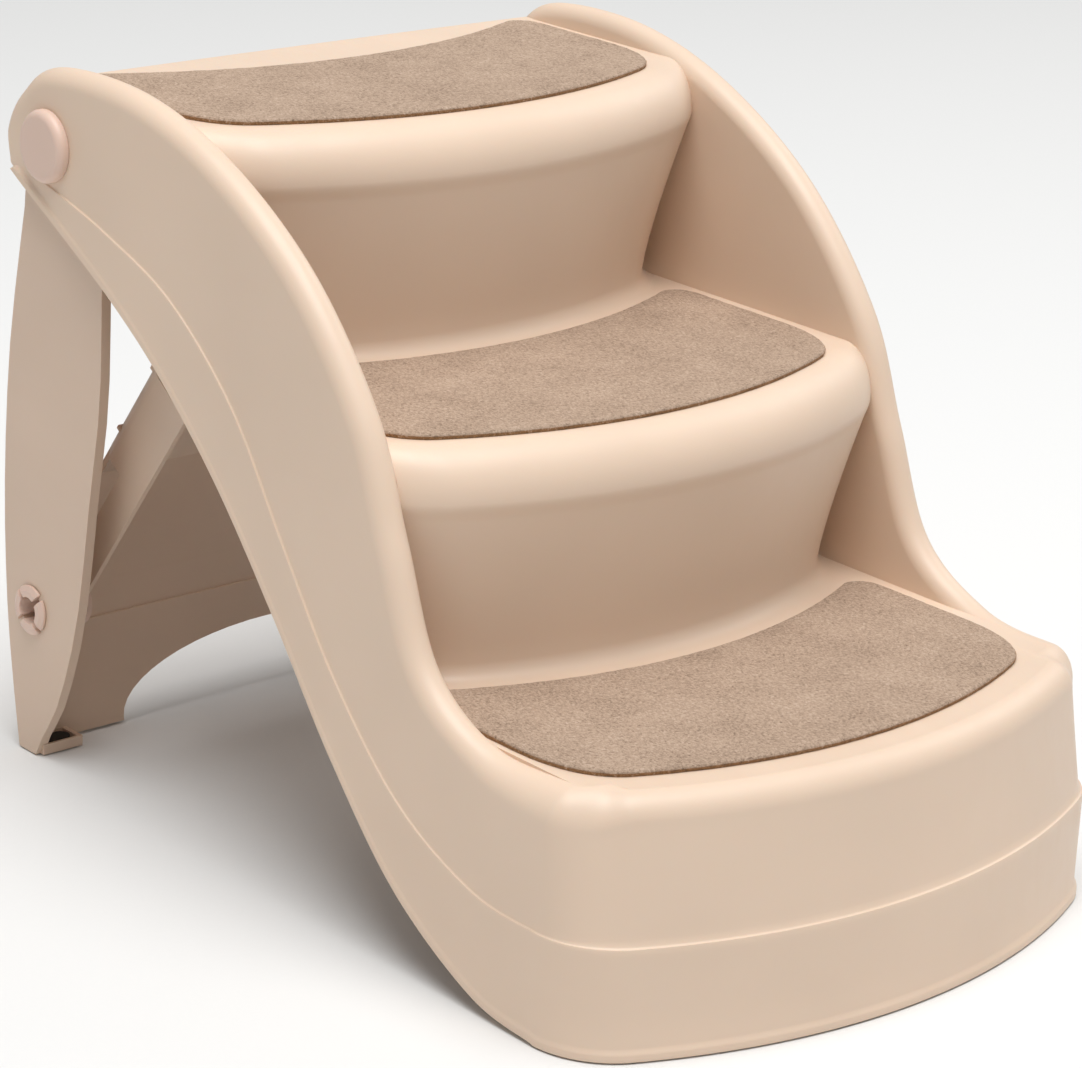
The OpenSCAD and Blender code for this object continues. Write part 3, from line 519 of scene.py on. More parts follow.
def smooth_curve(points, n):
    """Smooth curve through points, sampled in n equal parts of its parameter."""
    p = np.asarray(points, float)
    last = len(p) - 1
    t = np.linspace(0, last, n + 1)
    i = np.minimum(t.astype(int), last - 1)
    u = (t - i)[:, None]
    a, b, c, d = (p[np.clip(i + k, 0, last)] for k in (-1, 0, 1, 2))
    return 0.5 * (2 * b + (c - a) * u + (2 * a - 5 * b + 4 * c - d) * u**2 + (3 * b - a - 3 * c + d) * u**3)


# What a cross-section is given in its own right, apart from its sizes
OWN = ("place", "out", "up", "band", "edge")


class Station:
    """One cross-section of the swept wall: its place on the crest, its outward and upward
    directions, the points on the bead line and the lower edge, and the sizes of the roll."""

    def __init__(self, place, out, up, band, edge, **sizes):
        self.place, self.out, self.up = (np.array(v, float) for v in (place, out, up))
        self.band, self.edge = band, edge
        self.__dict__.update(sizes)

    def shifted(self, h, q):
        """Out from the plain face by h, at a point of the side view."""
        p = self.place + h * self.out
        return np.array([p[0], p[1], q[1]] if self.plan else [p[0], q[0], q[1]])

    def rolled(self, out, drop):
        return self.place + (out - self.lean) * self.out - drop * self.up


class Shell:
    """Curves and surfaces of the moulded shell, in millimetres."""

    side_more = 7.0
    corner_more = 4.0
    front_in = 5.0
    flat_lip = 3.0
    nose_under = 5.0
    rear_edge_r = 5.0
    # The sheet of steps ends this far inside the crest of the front
    crest_in = 0.7
    rear_round = 2.0
    foot_lip = 2.0
    shelf_t = 2.5
    # Places that are shares of a size of the shell
    rear_share = 0.276
    nose_share = 0.4
    sheet_share = 0.25
    low_share = 0.7
    rim_swing_share = 1.4
    # The bead begins and reaches its full height over these shares of the side wall
    bead_start_share, bead_rise_share = 0.14, 0.2
    # Shares of the soft shoulder below and above the bead line
    below_share, above_share = 0.45, 0.55
    # Points up the section: from the rim to the band, up the band and up the skirt
    rim_shares = (0.2, 0.45, 0.75, 1.0)
    band_shares = (0.35, 0.8, 0.97)
    skirt_shares = (0.06, 0.35, 0.7, 0.94)
    # Points over the shoulder, as shares of its height and of its depth
    shoulder_low = ((0.0, 0.0), (0.2, 0.06), (0.3, 0.2))
    shoulder_high = ((0.06, 0.42), (0.13, 0.6), (0.22, 0.69), (0.4, 0.8), (0.7, 0.94), (1.0, 1.0))
    rib_shares = (0.3, 0.7)
    # A stop's two ends: turn in degrees below the pivot, and share of the leg's head
    stop_ends = ((3, 1.0), (21, 1.11))
    stop_gap_share = 1.2
    # A cheek's corners: share of the run behind the last nose, and skins above the tread
    cheek_corners = ((0.26, -2), (0.42, -2), (0.475, 2), (0.475, 8), (0.27, 2))
    # A shelf's spots beside its foot, in lengths and widths of the foot
    shelf_spots = ((-0.7, 0.0), (0.6, 0.0), (-0.4, -2.6))

    def __init__(self, scene):
        self.__dict__.update(in_mm(scene.pet_stairs_shell, scene.pet_stairs_fittings, scene.pet_stairs_mats))
        self.face_x = self.body_w / 2 - self.rim_out
        self.inner_x = self.face_x - self.side_w
        self.roll_in = self.side_w - self.roll_out
        self.body_radius = self.front_radius + self.front_out
        self.plan_cy = self.body_radius - self.front_out
        self.corner_cx = self.body_w / 2 - self.body_corner_r
        reach = self.body_radius - self.body_corner_r
        self.corner_cy = self.plan_cy - math.sqrt(reach**2 - self.corner_cx**2)
        self.corner_turn = math.asin(self.corner_cx / reach)
        self.step_cx = self.inner_x + OVER - self.corner_radius
        self.nose_cx = self.step_cx + self.nose_share * self.corner_radius
        self.sheet_x = self.inner_x + self.sheet_share * self.skin
        self.rear_y = (STEPS - 1) * self.run + self.mat_d + self.rear_share * self.run
        self.front_flat = self.front_out - self.front_lean - self.front_roll - self.rim_out
        # The frame's y is measured from the middle of the whole object
        self.mid_y = -self.front_out - CAD_BOX[0].y / MM
        # The first tread ends at the crest line of the body's front and its corners
        crest = []
        crest_n = 24
        for i in range(crest_n, -1, -1):
            u = i / crest_n
            w, more = ease(u), math.sin(math.pi * u) ** 2
            a = math.pi / 2 - (math.pi / 2 - self.corner_turn) * u
            r = self.body_corner_r - self.rim_out - self.plan_lean(w, more) - self.plan_roll(w, more)
            crest.append((self.corner_cx + r * math.sin(a), self.corner_cy - r * math.cos(a)))
        self.crest_corner = np.array(crest)

    def tread_z(self, k):
        return self.first_rise + (k - 1) * self.rise

    def mat_y(self, k):
        return (k - 1) * self.run

    def plan_roll(self, w, more):
        side = self.roll_out + self.side_more
        return side + (self.front_roll - side) * w + self.corner_more * more

    def plan_lean(self, w, more):
        return self.front_lean * w + self.corner_more * more

    def side_stations(self, sx, n):
        lines = []
        for shares in (CREST_SHARE, BAND_SHARE, EDGE_SHARE):
            points = [(y * self.run, self.first_rise - self.rise + z * self.rise) for y, z in shares]
            lines.append(smooth_curve(points, n))
        crest, band, edge = lines
        made = []
        low_y = self.low_share * self.run
        for i in range(n + 1):
            d = crest[min(i + 1, n)] - crest[max(i - 1, 0)]
            d = d / np.hypot(*d)
            low = (low_y - crest[i][0]) / (low_y - self.corner_cy)
            made.append(
                Station(
                    (sx * self.face_x, *crest[i]),
                    (sx, 0, 0),
                    (0, d[1], -d[0]),
                    tuple(band[i]),
                    (edge[i][0], max(self.foot_out, edge[i][1])),
                    plan=False,
                    roll=self.roll_out + self.side_more * ease(low),
                    lean=0.0,
                    roll_in=self.roll_in,
                    flat=min(1.0, TIP_FLAT + i / n / TIP_SHARE),
                    back=0.0,
                    bead=self.band_out * ease((i / n - self.bead_start_share) / self.bead_rise_share),
                    soft=self.bead_soft,
                )
            )
        return made

    def plan_station(self, cx, cy, r, a, w, more):
        out = (math.sin(a), -math.cos(a), 0)
        far = r - self.rim_out
        return Station(
            (cx + far * out[0], cy + far * out[1], self.first_rise + self.skin / 20),
            out,
            (0, 0, 1),
            (0, self.band_h),
            (0, self.foot_out),
            plan=True,
            roll=self.plan_roll(w, more),
            lean=self.plan_lean(w, more),
            roll_in=self.roll_in + (self.front_in - self.roll_in) * w,
            flat=1.0,
            back=self.band_back * w,
            bead=self.band_out - self.band_back * w / 2,
            soft=self.bead_soft + (self.bead_soft_front - self.bead_soft) * w,
        )

    def front_stations(self, corner_n, front_n):
        turn = math.pi / 2 - self.corner_turn

        def corner(sx, i):
            u = i / corner_n
            a = sx * (math.pi / 2 - turn * u)
            more = math.sin(math.pi * u) ** 2
            return self.plan_station(sx * self.corner_cx, self.corner_cy, self.body_corner_r, a, ease(u), more)

        middle = [
            self.plan_station(0, self.plan_cy, self.body_radius, self.corner_turn * (2 * i / front_n - 1), 1, 0)
            for i in range(1, front_n)
        ]
        left = [corner(-1, i) for i in range(1, corner_n + 1)]
        return left + middle + [corner(1, i) for i in range(corner_n, 0, -1)]

    def rolls(self, s, inset, n):
        """The two quarter turns over the crest, from the outer face to the inner one."""

        def turned(r, way, a):
            return s.rolled(way * r * math.sin(a) - s.roll, inset + s.flat * r * (1 - math.cos(a)))

        turns = [math.pi / 2 * i / n for i in range(n + 1)]
        outer = [turned(s.roll - inset, 1, a) for a in turns[::-1]]
        inner = [turned(s.roll_in - inset, -1, a) for a in turns[1:]]
        return outer + inner + [s.shifted(-s.roll - s.roll_in + inset - s.lean, s.edge)]

    def outer_section(self, s, n):
        """Rim, band, soft shoulder, skirt and roll."""
        band, edge = np.array(s.band), np.array(s.edge)
        rim_top = min(edge[1] + self.rim_h, band[1] - 2 * OVER)
        foot = np.array([edge[0], min(rim_top + self.rim_swing_share * self.rim_out, band[1] - OVER)])
        soft = 0.5 * OVER
        made = [s.shifted(self.rim_out - soft, edge)]
        for z in (edge[1] + soft, rim_top - soft):
            made.append(s.shifted(self.rim_out, (edge[0], z)))
        for t in self.rim_shares:
            h = self.rim_out + (s.bead - self.rim_out) * ease(t)
            made.append(s.shifted(h, (edge[0], rim_top - soft + (foot[1] - rim_top + soft) * t)))
        # The shoulder starts below the bead line and ends above it
        face = s.shifted(0, band) - s.shifted(0, foot)
        start = min(self.below_share * s.soft / max(np.linalg.norm(face), 1e-6), 0.5)
        for t in self.band_shares:
            made.append(s.shifted(s.bead, foot + (band - foot) * (1 - start) * t))
        top = s.rolled(0, s.flat * s.roll)
        base = s.shifted(-s.back, band)
        end = min(self.above_share * s.soft / max(np.linalg.norm(top - base), 1e-6), 0.5)
        for t, drop in self.shoulder_low:
            q = foot + (band - foot) * (1 - start * (1 - t / self.shoulder_low[-1][0]))
            made.append(s.shifted(s.bead - (s.bead + s.back) * drop, q))
        for t, drop in self.shoulder_high:
            made.append(base + (top - base) * end * t + (s.bead + s.back) * (1 - drop) * s.out)
        for t in self.skirt_shares:
            made.append(base + (top - base) * (end + (1 - end) * t))
        return made + self.rolls(s, 0, n)

    def inner_section(self, s, inset, extra, n):
        edge = (s.edge[0], s.edge[1] - extra)
        sizes = {key: value for key, value in s.__dict__.items() if key not in OWN}
        s = Station(s.place, s.out, s.up, s.band, edge, **sizes)
        return [s.shifted(-inset, edge), s.shifted(-inset - s.back, s.band)] + self.rolls(s, inset, n)

    def wall(self, name, inset=0.0, extra=0.0, side_n=170, corner_n=26, front_n=46, roll_n=14):
        left, right = (self.side_stations(sx, side_n) for sx in (-1, 1))
        skip = side_n // 30 if inset > 0 else 0
        every = left[skip:] + self.front_stations(corner_n, front_n) + right[::-1][: len(right) - skip]
        if inset > 0:
            loops = [self.inner_section(s, inset, extra, roll_n) for s in every]
        else:
            loops = [self.outer_section(s, roll_n) for s in every]
        return loft(name, loops, True)

    # Sheet of steps

    def sag(self, x, row):
        """How far a row of the step profile lies back at x."""
        y, z, d, kind, cx, part = row
        if kind == 2:
            r = self.front_radius + self.front_flat
            if abs(x) < r * math.sin(self.corner_turn):
                return r - math.sqrt(r * r - x * x) + self.crest_in
            line = np.interp(abs(x), self.crest_corner[:, 0] - self.crest_in, self.crest_corner[:, 1])
            return self.front_flat + float(line) + self.crest_in
        if kind == 0:
            return -self.rear_round * (x / self.sheet_x) ** 2
        r, c = self.front_radius + d, self.corner_radius + d
        a = max(abs(x) - cx, 0)
        return r - math.sqrt(r * r - x * x) + part * (c - math.sqrt(max(c * c - a * a, 0)))

    def riser_cx(self, d):
        share = (d - self.riser_foot_out) / (self.riser_head_out - self.riser_foot_out)
        return self.step_cx + (self.nose_cx - self.step_cx) * share

    def nose_rows(self, k, n):
        y, z = self.mat_y(k), self.tread_z(k)
        if k == 1:
            return [(y - self.front_flat, z, self.front_flat, 2, 0, 0), (y + 20, z, -20, 1, self.nose_cx, 0)]
        rows = []
        foot, head = self.riser_foot_out, self.riser_head_out
        f, h = self.tread_z(k - 1) + self.cove_r, z - self.nose_drop - 2 * self.nose_under
        for i in range(1, n + 1):
            u = i / n
            d = foot + (head - foot) * u**1.3
            rows.append((y - d, f + (h - f) * u, d, 1, self.riser_cx(d), 1))
        # From the riser's slope into the nose's upright tangent
        tall, slope = 2 * self.nose_under, 1.3 * (head - foot) / (h - f)
        for i in range(1, n):
            u = i / n
            d = (
                head * (2 * u**3 - 3 * u**2 + 1)
                + slope * tall * (u**3 - 2 * u**2 + u)
                + self.nose_out * (3 * u**2 - 2 * u**3)
            )
            rows.append((y - d, h + tall * u, d, 1, self.nose_cx, 1))
        r = self.nose_out - self.flat_lip
        for i in range(2 * n + 1):
            a = math.pi / 2 * i / (2 * n)
            d = self.flat_lip + r * math.cos(a)
            rows.append((y - d, z - self.nose_drop * (1 - math.sin(a)), d, 1, self.nose_cx, math.cos(a)))
        rows.append((y - self.flat_lip + 2, z, self.flat_lip - 2, 1, self.nose_cx, 0))
        return rows

    def cove_rows(self, k, n):
        y, z, f = self.mat_y(k) + self.run, self.tread_z(k), self.riser_foot_out
        rows = [(y - f - self.cove_r - 2, z, f + self.cove_r + 2, 1, self.step_cx, 1)]
        for i in range(n + 1):
            a = math.pi / 2 * i / n
            d = f + self.cove_r * (1 - math.sin(a))
            rows.append((y - d, z + self.cove_r * (1 - math.cos(a)), d, 1, self.step_cx, 1))
        return rows

    def step_rows(self, n):
        rows = []
        for k in range(1, STEPS + 1):
            rows += self.nose_rows(k, n)
            if k < STEPS:
                rows += self.cove_rows(k, n)
        z, r = self.tread_z(STEPS), self.rear_edge_r
        rows.append((self.rear_y - r - 2, z, 0, 0, 0, 0))
        for i in range(n + 1):
            a = math.pi / 2 * i / n
            rows.append((self.rear_y - r * (1 - math.sin(a)), z - r * (1 - math.cos(a)), 0, 0, 0, 0))
        for t in (0.1, 0.9, 1.0):
            rows.append((self.rear_y, z - r - (self.apron_h - r) * t, 0, 0, 0, 0))
        return rows

    def set_in(self, rows, inset):
        """Rows moved in by a distance along their own normal."""
        made = []
        for i, row in enumerate(rows):
            a, b = rows[max(i - 1, 0)], rows[min(i + 1, len(rows) - 1)]
            d = np.array([b[0] - a[0], b[1] - a[1]])
            d /= np.hypot(*d)
            n = (0, -1) if i == 0 else (-1, 0) if i == len(rows) - 1 else (d[1], -d[0])
            deep = row[2] - inset * n[0] if row[3] > 0 else 0
            made.append((row[0] + inset * n[0], row[1] + inset * n[1], deep, *row[3:]))
        return made

    def columns(self, n, last):
        turns = [self.step_cx + (last - self.step_cx) * math.sin(math.pi / 2 * i / n) for i in range(1, n + 1)]
        return [-x for x in turns[::-1]] + [i * self.step_cx / n for i in range(-n, n + 1)] + turns

    def step_block(self, name, inset, n, row_n):
        under = 4 * self.skin
        if inset:
            deep = self.rise / 5
            low = [(self.rear_y - self.skin, -deep, 0), (-self.front_flat, -deep, 2)]
        else:
            low = [
                (self.rear_y - 2 * self.skin, self.tread_z(3) - self.apron_h, 0),
                (self.mat_y(3) + 0.9 * self.run, self.tread_z(2) - under, 0),
                (self.mat_y(2) + 0.75 * self.run, self.tread_z(2) - under, 0),
                (self.mat_y(2) + 0.6 * self.run, self.tread_z(1) - under, 0),
                (-self.front_flat, self.tread_z(1) - under, 2),
            ]
        rows = self.set_in(self.step_rows(row_n), inset) if inset else self.step_rows(row_n)
        rows = rows + [(y, z, 0, kind, 0, 0) for y, z, kind in low]
        last = self.sheet_x + (self.skin if inset else 0)
        loops = [[(x, r[0] + self.sag(x, r), r[1]) for r in rows] for x in self.columns(n, last)]
        return loft(name, loops, False)

    # Small forms inside the shell

    def ribs(self):
        made = []
        half = self.inner_x - 2 * self.skin
        for k in range(1, STEPS + 1):
            for f in self.rib_shares:
                y, z = self.mat_y(k) + f * self.mat_d, self.tread_z(k) - self.skin / 2
                x, r = half * (1 - f / 3), self.rib_t / 2
                places = [((sx * x, y, h), r) for sx in (-1, 1) for h in (z, z - self.rib_h)]
                made.append(discs(f"rib_{k}_{f}", 2, 12, places))
        return made

    def stops(self):
        """Stops inside the side walls, behind the leg's heads."""
        made = []
        for name, sx in SIDES:
            places = []
            for degrees, share in self.stop_ends:
                r = share * self.blade_head_r + (SIDE_FIT + self.stop_gap_share * self.rib_t)
                turn = math.radians(degrees)
                y, z = self.pivot_y + r * math.cos(turn), self.pivot_z - r * math.sin(turn)
                for x in (self.inner_x + self.skin / 2, self.face_x - self.skin / 2):
                    places.append(((sx * x, y, z), self.rib_t))
            made.append(discs("stop_" + name, 0, 16, places))
        return made

    def cheeks(self):
        """Each side wall's inner skin, led down to the foot of the last riser."""
        made = []
        y, z = self.mat_y(STEPS), self.tread_z(STEPS - 1)
        for name, sx in SIDES:
            points = [
                (sx * x, y + share * self.run, z + skins * self.skin)
                for share, skins in self.cheek_corners
                for x in (self.inner_x, self.inner_x + self.skin)
            ]
            made.append(hull("cheek_" + name, points))
        return made

    def foot_place(self):
        return self.corner_cx - self.foot_l / 2, self.corner_cy + self.foot_w

    def shelves(self):
        """Shelf across each front corner, which carries a rubber foot."""
        made = []
        x, y = self.foot_place()
        reach = self.body_corner_r - self.rim_out - self.skin / 2
        spots = [(x + a * self.foot_l, y + b * self.foot_w, self.foot_w) for a, b in self.shelf_spots]
        for turn in (math.pi / 4, math.pi / 2):
            rim = (self.corner_cx + reach * math.sin(turn), self.corner_cy - reach * math.cos(turn))
            spots.append((*rim, self.skin / 4))
        for name, sx in SIDES:
            heights = (self.foot_out, self.foot_out + self.shelf_t)
            places = [((sx * px, py, z), r) for px, py, r in spots for z in heights]
            made.append(discs("shelf_" + name, 2, 24, places))
        return made

    def bores(self):
        """Bores for the pivot knobs and seats for the front feet."""
        made = []
        x, y = self.foot_place()
        w = self.foot_w - 2 * self.foot_lip + 2 * SIDE_FIT
        half = (self.foot_l - self.foot_w) / 2
        for name, sx in SIDES:
            ends = (self.face_x - 2 * self.skin, self.face_x + 2 * self.skin)
            places = [((sx * px, self.pivot_y, self.pivot_z), self.shaft_r + SIDE_FIT) for px in ends]
            made.append(discs("bore_" + name, 0, 64, places))
            heights = (self.foot_out - OVER, self.foot_out + self.shelf_t + OVER)
            places = [((sx * px, y, z), w / 2) for px in (x - half, x + half) for z in heights]
            made.append(discs("seat_" + name, 2, 24, places))
        return made


def moved_to_frame(obj, shell):
    """Moves a mesh from the first mat's front edge to the frame's origin."""
    obj.data.transform(Matrix.Translation((0, -shell.mid_y * MM, 0)))
    return obj


def dress(obj, body, slot, *nodes):
    """Lets a piece ride on a body and stand for some CAD nodes. The slot is not used."""
    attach(obj, body)
    if nodes:
        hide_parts(*nodes)


def paint(node, key):
    """Gives a CAD node its finish."""
    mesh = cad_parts[node].data
    mesh.materials.clear()
    mesh.materials.append(finish_of(key))


def soften(node, mm):
    """Rounds a CAD node's moulded edges with modifiers, and leaves its mesh as it is."""
    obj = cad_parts[node]
    weld = obj.modifiers.new("weld", "WELD")
    weld.merge_threshold = 0.01 * MM
    bevel = obj.modifiers.new("soft edges", "BEVEL")
    bevel.width = mm * MM
    bevel.segments = 3
    bevel.limit_method = "ANGLE"
    bevel.angle_limit = math.radians(35)


class PETSTAIRS_OT_shell(bpy.types.Operator):
    """Moulds the stairs' shell, with its ribs, stops and shelves"""

    bl_idname = "pet_stairs.shell"
    bl_label = "Moulded shell"

    def execute(self, context):
        shell = Shell(context.scene)
        body = combine(shell.wall("moulded_shell"), [shell.step_block("sheet", 0, 26, 8)], "UNION")
        extra = shell.rise / 5
        hollow = shell.wall("hollow", shell.skin, extra, side_n=90, corner_n=14, front_n=26, roll_n=6)
        combine(hollow, [shell.step_block("hollow_sheet", shell.skin, 26, 8)], "UNION")
        combine(body, [hollow], "DIFFERENCE")
        combine(body, shell.ribs() + shell.stops() + shell.cheeks() + shell.shelves(), "UNION")
        combine(body, shell.bores(), "DIFFERENCE")
        body.data.materials.clear()
        body.data.materials.append(finish_of("shell"))
        body.data.name = "moulded_shell"
        smooth(moved_to_frame(body, shell), 32)
        dress(body, "stairs", "cream_plastic", "stair_body")
        return {"FINISHED"}


class PETSTAIRS_OT_mats(bpy.types.Operator):
    """Cuts the three felt mats and lays them on their tape"""

    bl_idname = "pet_stairs.mats"
    bl_label = "Felt mats"

    long_shares = (1.0, 1.03, 0.95)
    corner_shares = (0.6, 0.96)
    blunt = 2.6
    tuck_share = 0.09
    # Shares of the nap, each with the width of its bumps in millimetres
    naps = ((0.6, 4.5), (0.4, 2.1))
    fray_width = 1.8
    # Distance between the places of two mats in the unevenness
    apart = 300
    # Rows of points near the front edge, as shares of the depth, and mirrored at the rear edge
    front_shares = (0.0, 0.003, 0.008, 0.015)
    rear_shares = (0.985, 0.992, 0.997, 1.0)
    # Rings down the cut edge and under the mat: how far out, and share of the thickness
    rings = ((0.25, 0.62), (0.1, 0.3), (-0.2, 0.02), (-4.0, 0.02), (-4.0, 0.36))

    def edges(self, shell, k, x):
        """Front and rear edge of a mat at x."""
        h = shell.inner_x - (shell.mat_gap if x < 0 else shell.mat_gap_right)
        x = abs(x)
        d = self.long_shares[k - 1] * shell.mat_d
        tuck = self.tuck_share * shell.nose_out
        wide, deep = (c * shell.corner_radius for c in self.corner_shares)
        r, rr = shell.front_radius, shell.mat_rear_r
        t = max(0.0, min(1.0, (x - h + wide) / wide))
        front = r - math.sqrt(r * r - x * x) + deep * (1 - (1 - t**self.blunt) ** (1 / self.blunt))
        b = h - rr
        arc = r - math.sqrt(r * r - min(x, b) ** 2)
        rear = d + arc - rr + math.sqrt(max(rr * rr - max(x - b, 0) ** 2, 0))
        return front - tuck, rear - tuck

    def mesh(self, shell, k):
        n, rows = 64, 54
        left, right = shell.inner_x - shell.mat_gap, shell.inner_x - shell.mat_gap_right
        xs = [-left * math.sin(math.pi / 2 * i / n) for i in range(n, 0, -1)]
        xs += [right * math.sin(math.pi / 2 * i / n) for i in range(n + 1)]
        shares = [*self.front_shares, *np.linspace(0.03, 0.97, rows - 8), *self.rear_shares]
        grid = np.zeros((len(xs), len(shares), 3))
        for i, x in enumerate(xs):
            front, rear = self.edges(shell, k, x)
            for j, v in enumerate(shares):
                grid[i, j] = (x, front + (rear - front) * v, 0)
        w, m = len(xs), len(shares)
        index = np.arange(w * m).reshape(w, m)
        border = list(index[:, 0]) + list(index[-1, 1:]) + list(index[-2::-1, -1]) + list(index[0, -2:0:-1])
        flat = grid.reshape(-1, 3)
        line = flat[border][:, :2]
        # Distance of each point from the cut edge
        a, b = line, np.roll(line, -1, 0)
        ab = b - a
        near = np.full(len(flat), 1e9)
        for p, q, l2 in zip(a, ab, (ab**2).sum(1)):
            t = np.clip(((flat[:, :2] - p) @ q) / max(l2, 1e-9), 0, 1)
            near = np.minimum(near, np.hypot(*(flat[:, :2] - p - t[:, None] * q).T))
        z0, y0 = shell.tread_z(k), shell.mat_y(k)
        r = shell.edge_r
        verts = []
        for p, dist in zip(flat, near):
            drop = r - math.sqrt(max(r * r - max(r - dist, 0) ** 2, 0))
            spot = Vector((p[0], p[1] + self.apart * k, 0))
            bumpy = sum(share * noise.noise(spot / width) for share, width in self.naps)
            verts.append((p[0], p[1] + y0, z0 + shell.mat_t - drop + shell.nap * bumpy))
        faces = [
            (index[i, j], index[i + 1, j], index[i + 1, j + 1], index[i, j + 1])
            for i in range(w - 1)
            for j in range(m - 1)
        ]
        slots = [0] * len(faces)
        # The cut edge, with rings of place down the side in the darker edge felt with its painted shade, then
        # the underside over the tape
        side = np.roll(line, -1, 0) - np.roll(line, 1, 0)
        side /= np.maximum(np.hypot(*side.T), 1e-9)[:, None]
        normal = np.c_[side[:, 1], -side[:, 0]]
        count = len(border)
        last = border
        for depth, height in self.rings:
            first = len(verts)
            for (x, y), (nx, ny) in zip(line, normal):
                spot = Vector((x, y + self.apart * k, 30 * height))
                loose = shell.fray * noise.noise(spot / self.fray_width) if depth > -1 else 0.0
                out = depth + loose
                verts.append((x + nx * out, y + ny * out + y0, z0 + height * shell.mat_t))
            ring = list(range(first, first + count))
            for j in range(count):
                faces.append((last[j], ring[j], ring[(j + 1) % count], last[(j + 1) % count]))
                slots.append(1 if depth > -1 else 0)
            last = ring
        faces.append(last[::-1])
        slots.append(0)
        faces = [[int(v) for v in f] for f in faces]
        return tidy_normals(new_object(f"felt_mat_{k}", verts, faces, ("felt", "felt_edge_painted_shade"), slots))

    def execute(self, context):
        shell = Shell(context.scene)
        for k in range(1, STEPS + 1):
            mat = smooth(moved_to_frame(self.mesh(shell, k), shell), 60)
            dress(mat, "stairs", "felt", f"tread_mat_{k}")
            paint(f"mat_tape_{k}", "tape")
        return {"FINISHED"}


class PETSTAIRS_OT_pivots(bpy.types.Operator):
    """Turns the pivot knobs and finishes their screws and washers"""

    bl_idname = "pet_stairs.pivots"
    bl_label = "Pivot knobs"

    # Chamfer of the shaft's end, then the head's rim, and its crown as shares of its radius
    soft = 0.5
    rim = ((-0.4, 0.05), (0.0, 0.5))
    crown = ((0.7, 0.02), (0.3, 0.12), (0.0, 0.15))

    def execute(self, context):
        shell = Shell(context.scene)
        n, arc = 96, 14
        shaft = shell.face_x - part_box("pivot_knob_right")[0].x / MM
        profile = [(0, -shaft), (shell.shaft_r - self.soft, -shaft)]
        profile += [(shell.shaft_r, -shaft + self.soft), (shell.shaft_r, 0)]
        profile += [(shell.knob_r + r, h) for r, h in self.rim]
        for i in range(arc + 1):
            a = math.pi / 2 * i / arc
            r = shell.knob_r - shell.knob_round * (1 - math.cos(a))
            profile.append((r, shell.knob_h - shell.knob_round * (1 - math.sin(a))))
        profile += [(share * shell.knob_r, shell.knob_h + h) for share, h in self.crown]
        for name, sx in SIDES:
            verts, faces = [], []
            for r, h in profile[1:-1]:
                verts += ring_points((sx * (shell.face_x + h), shell.pivot_y, shell.pivot_z), 0, r, n)
            for k in range(len(profile) - 3):
                for j in range(n):
                    a, b = k * n + j, k * n + (j + 1) % n
                    faces.append((a, b, b + n, a + n))
            for h, first in ((profile[0][1], 0), (profile[-1][1], (len(profile) - 3) * n)):
                verts.append((sx * (shell.face_x + h), shell.pivot_y, shell.pivot_z))
                faces += [(first + j, first + (j + 1) % n, len(verts) - 1) for j in range(n)]
            knob = tidy_normals(new_object("knob_" + name, verts, faces, ("knob",)))
            smooth(moved_to_frame(knob, shell), 40)
            dress(knob, "stairs", "knob_plastic", "pivot_knob_" + name)
            for node in ("pivot_washer_", "pivot_screw_"):
                paint(node + name, "steel")
        return {"FINISHED"}


class PETSTAIRS_OT_leg(bpy.types.Operator):
    """Finishes the folding leg"""

    bl_idname = "pet_stairs.leg"
    bl_label = "Folding leg"

    def execute(self, context):
        paint("rear_leg", "leg")
        soften("rear_leg", context.scene.pet_stairs_fittings.edge_soft / MM)
        return {"FINISHED"}


class PETSTAIRS_OT_brace(bpy.types.Operator):
    """Finishes the locking brace and its snap pins"""

    bl_idname = "pet_stairs.brace"
    bl_label = "Locking brace"

    def execute(self, context):
        edge = context.scene.pet_stairs_fittings.edge_soft / MM
        paint("locking_brace", "leg")
        soften("locking_brace", edge)
        for name, _ in SIDES:
            paint("brace_pin_" + name, "knob")
            soften("brace_pin_" + name, 0.5 * edge)
        return {"FINISHED"}


class PETSTAIRS_OT_feet(bpy.types.Operator):
    """Finishes the rubber feet"""

    bl_idname = "pet_stairs.feet"
    bl_label = "Rubber feet"

    def execute(self, context):
        edge = 0.3 * context.scene.pet_stairs_fittings.edge_soft / MM
        for name, _ in SIDES:
            for node in ("front_foot_", "leg_foot_"):
                paint(node + name, "rubber")
                soften(node + name, edge)
        return {"FINISHED"}


# The photograph's viewing angle, with places in millimetres from the first mat's front edge
EYE = (-1305.863, -1194.335, 841.394)
EYE_RIGHT = (0.752704, -0.656649, 0.047424)
EYE_UP = (0.180691, 0.275316, 0.944220)
EYE_FORWARD = (0.633078, 0.702149, -0.325882)
IMAGE = (1082, 1068)
FOCAL_PIXELS = 3896.11
AXIS_PIXEL = (534.745, 513.716)
SENSOR = 36.0
# Half the side of the floor, and the strength of the even light from all round
FLOOR_HALF = 9000
WORLD_STRENGTH = 0.34
# Name, place and side in metres, and power in watts
SOFTBOXES = (("top_softbox", (-0.5, -0.8, 4.6), 3.4, 232), ("right_softbox", (3.6, 0.2, 2.6), 2.0, 28))
AIM = (0, 0, 0.2)


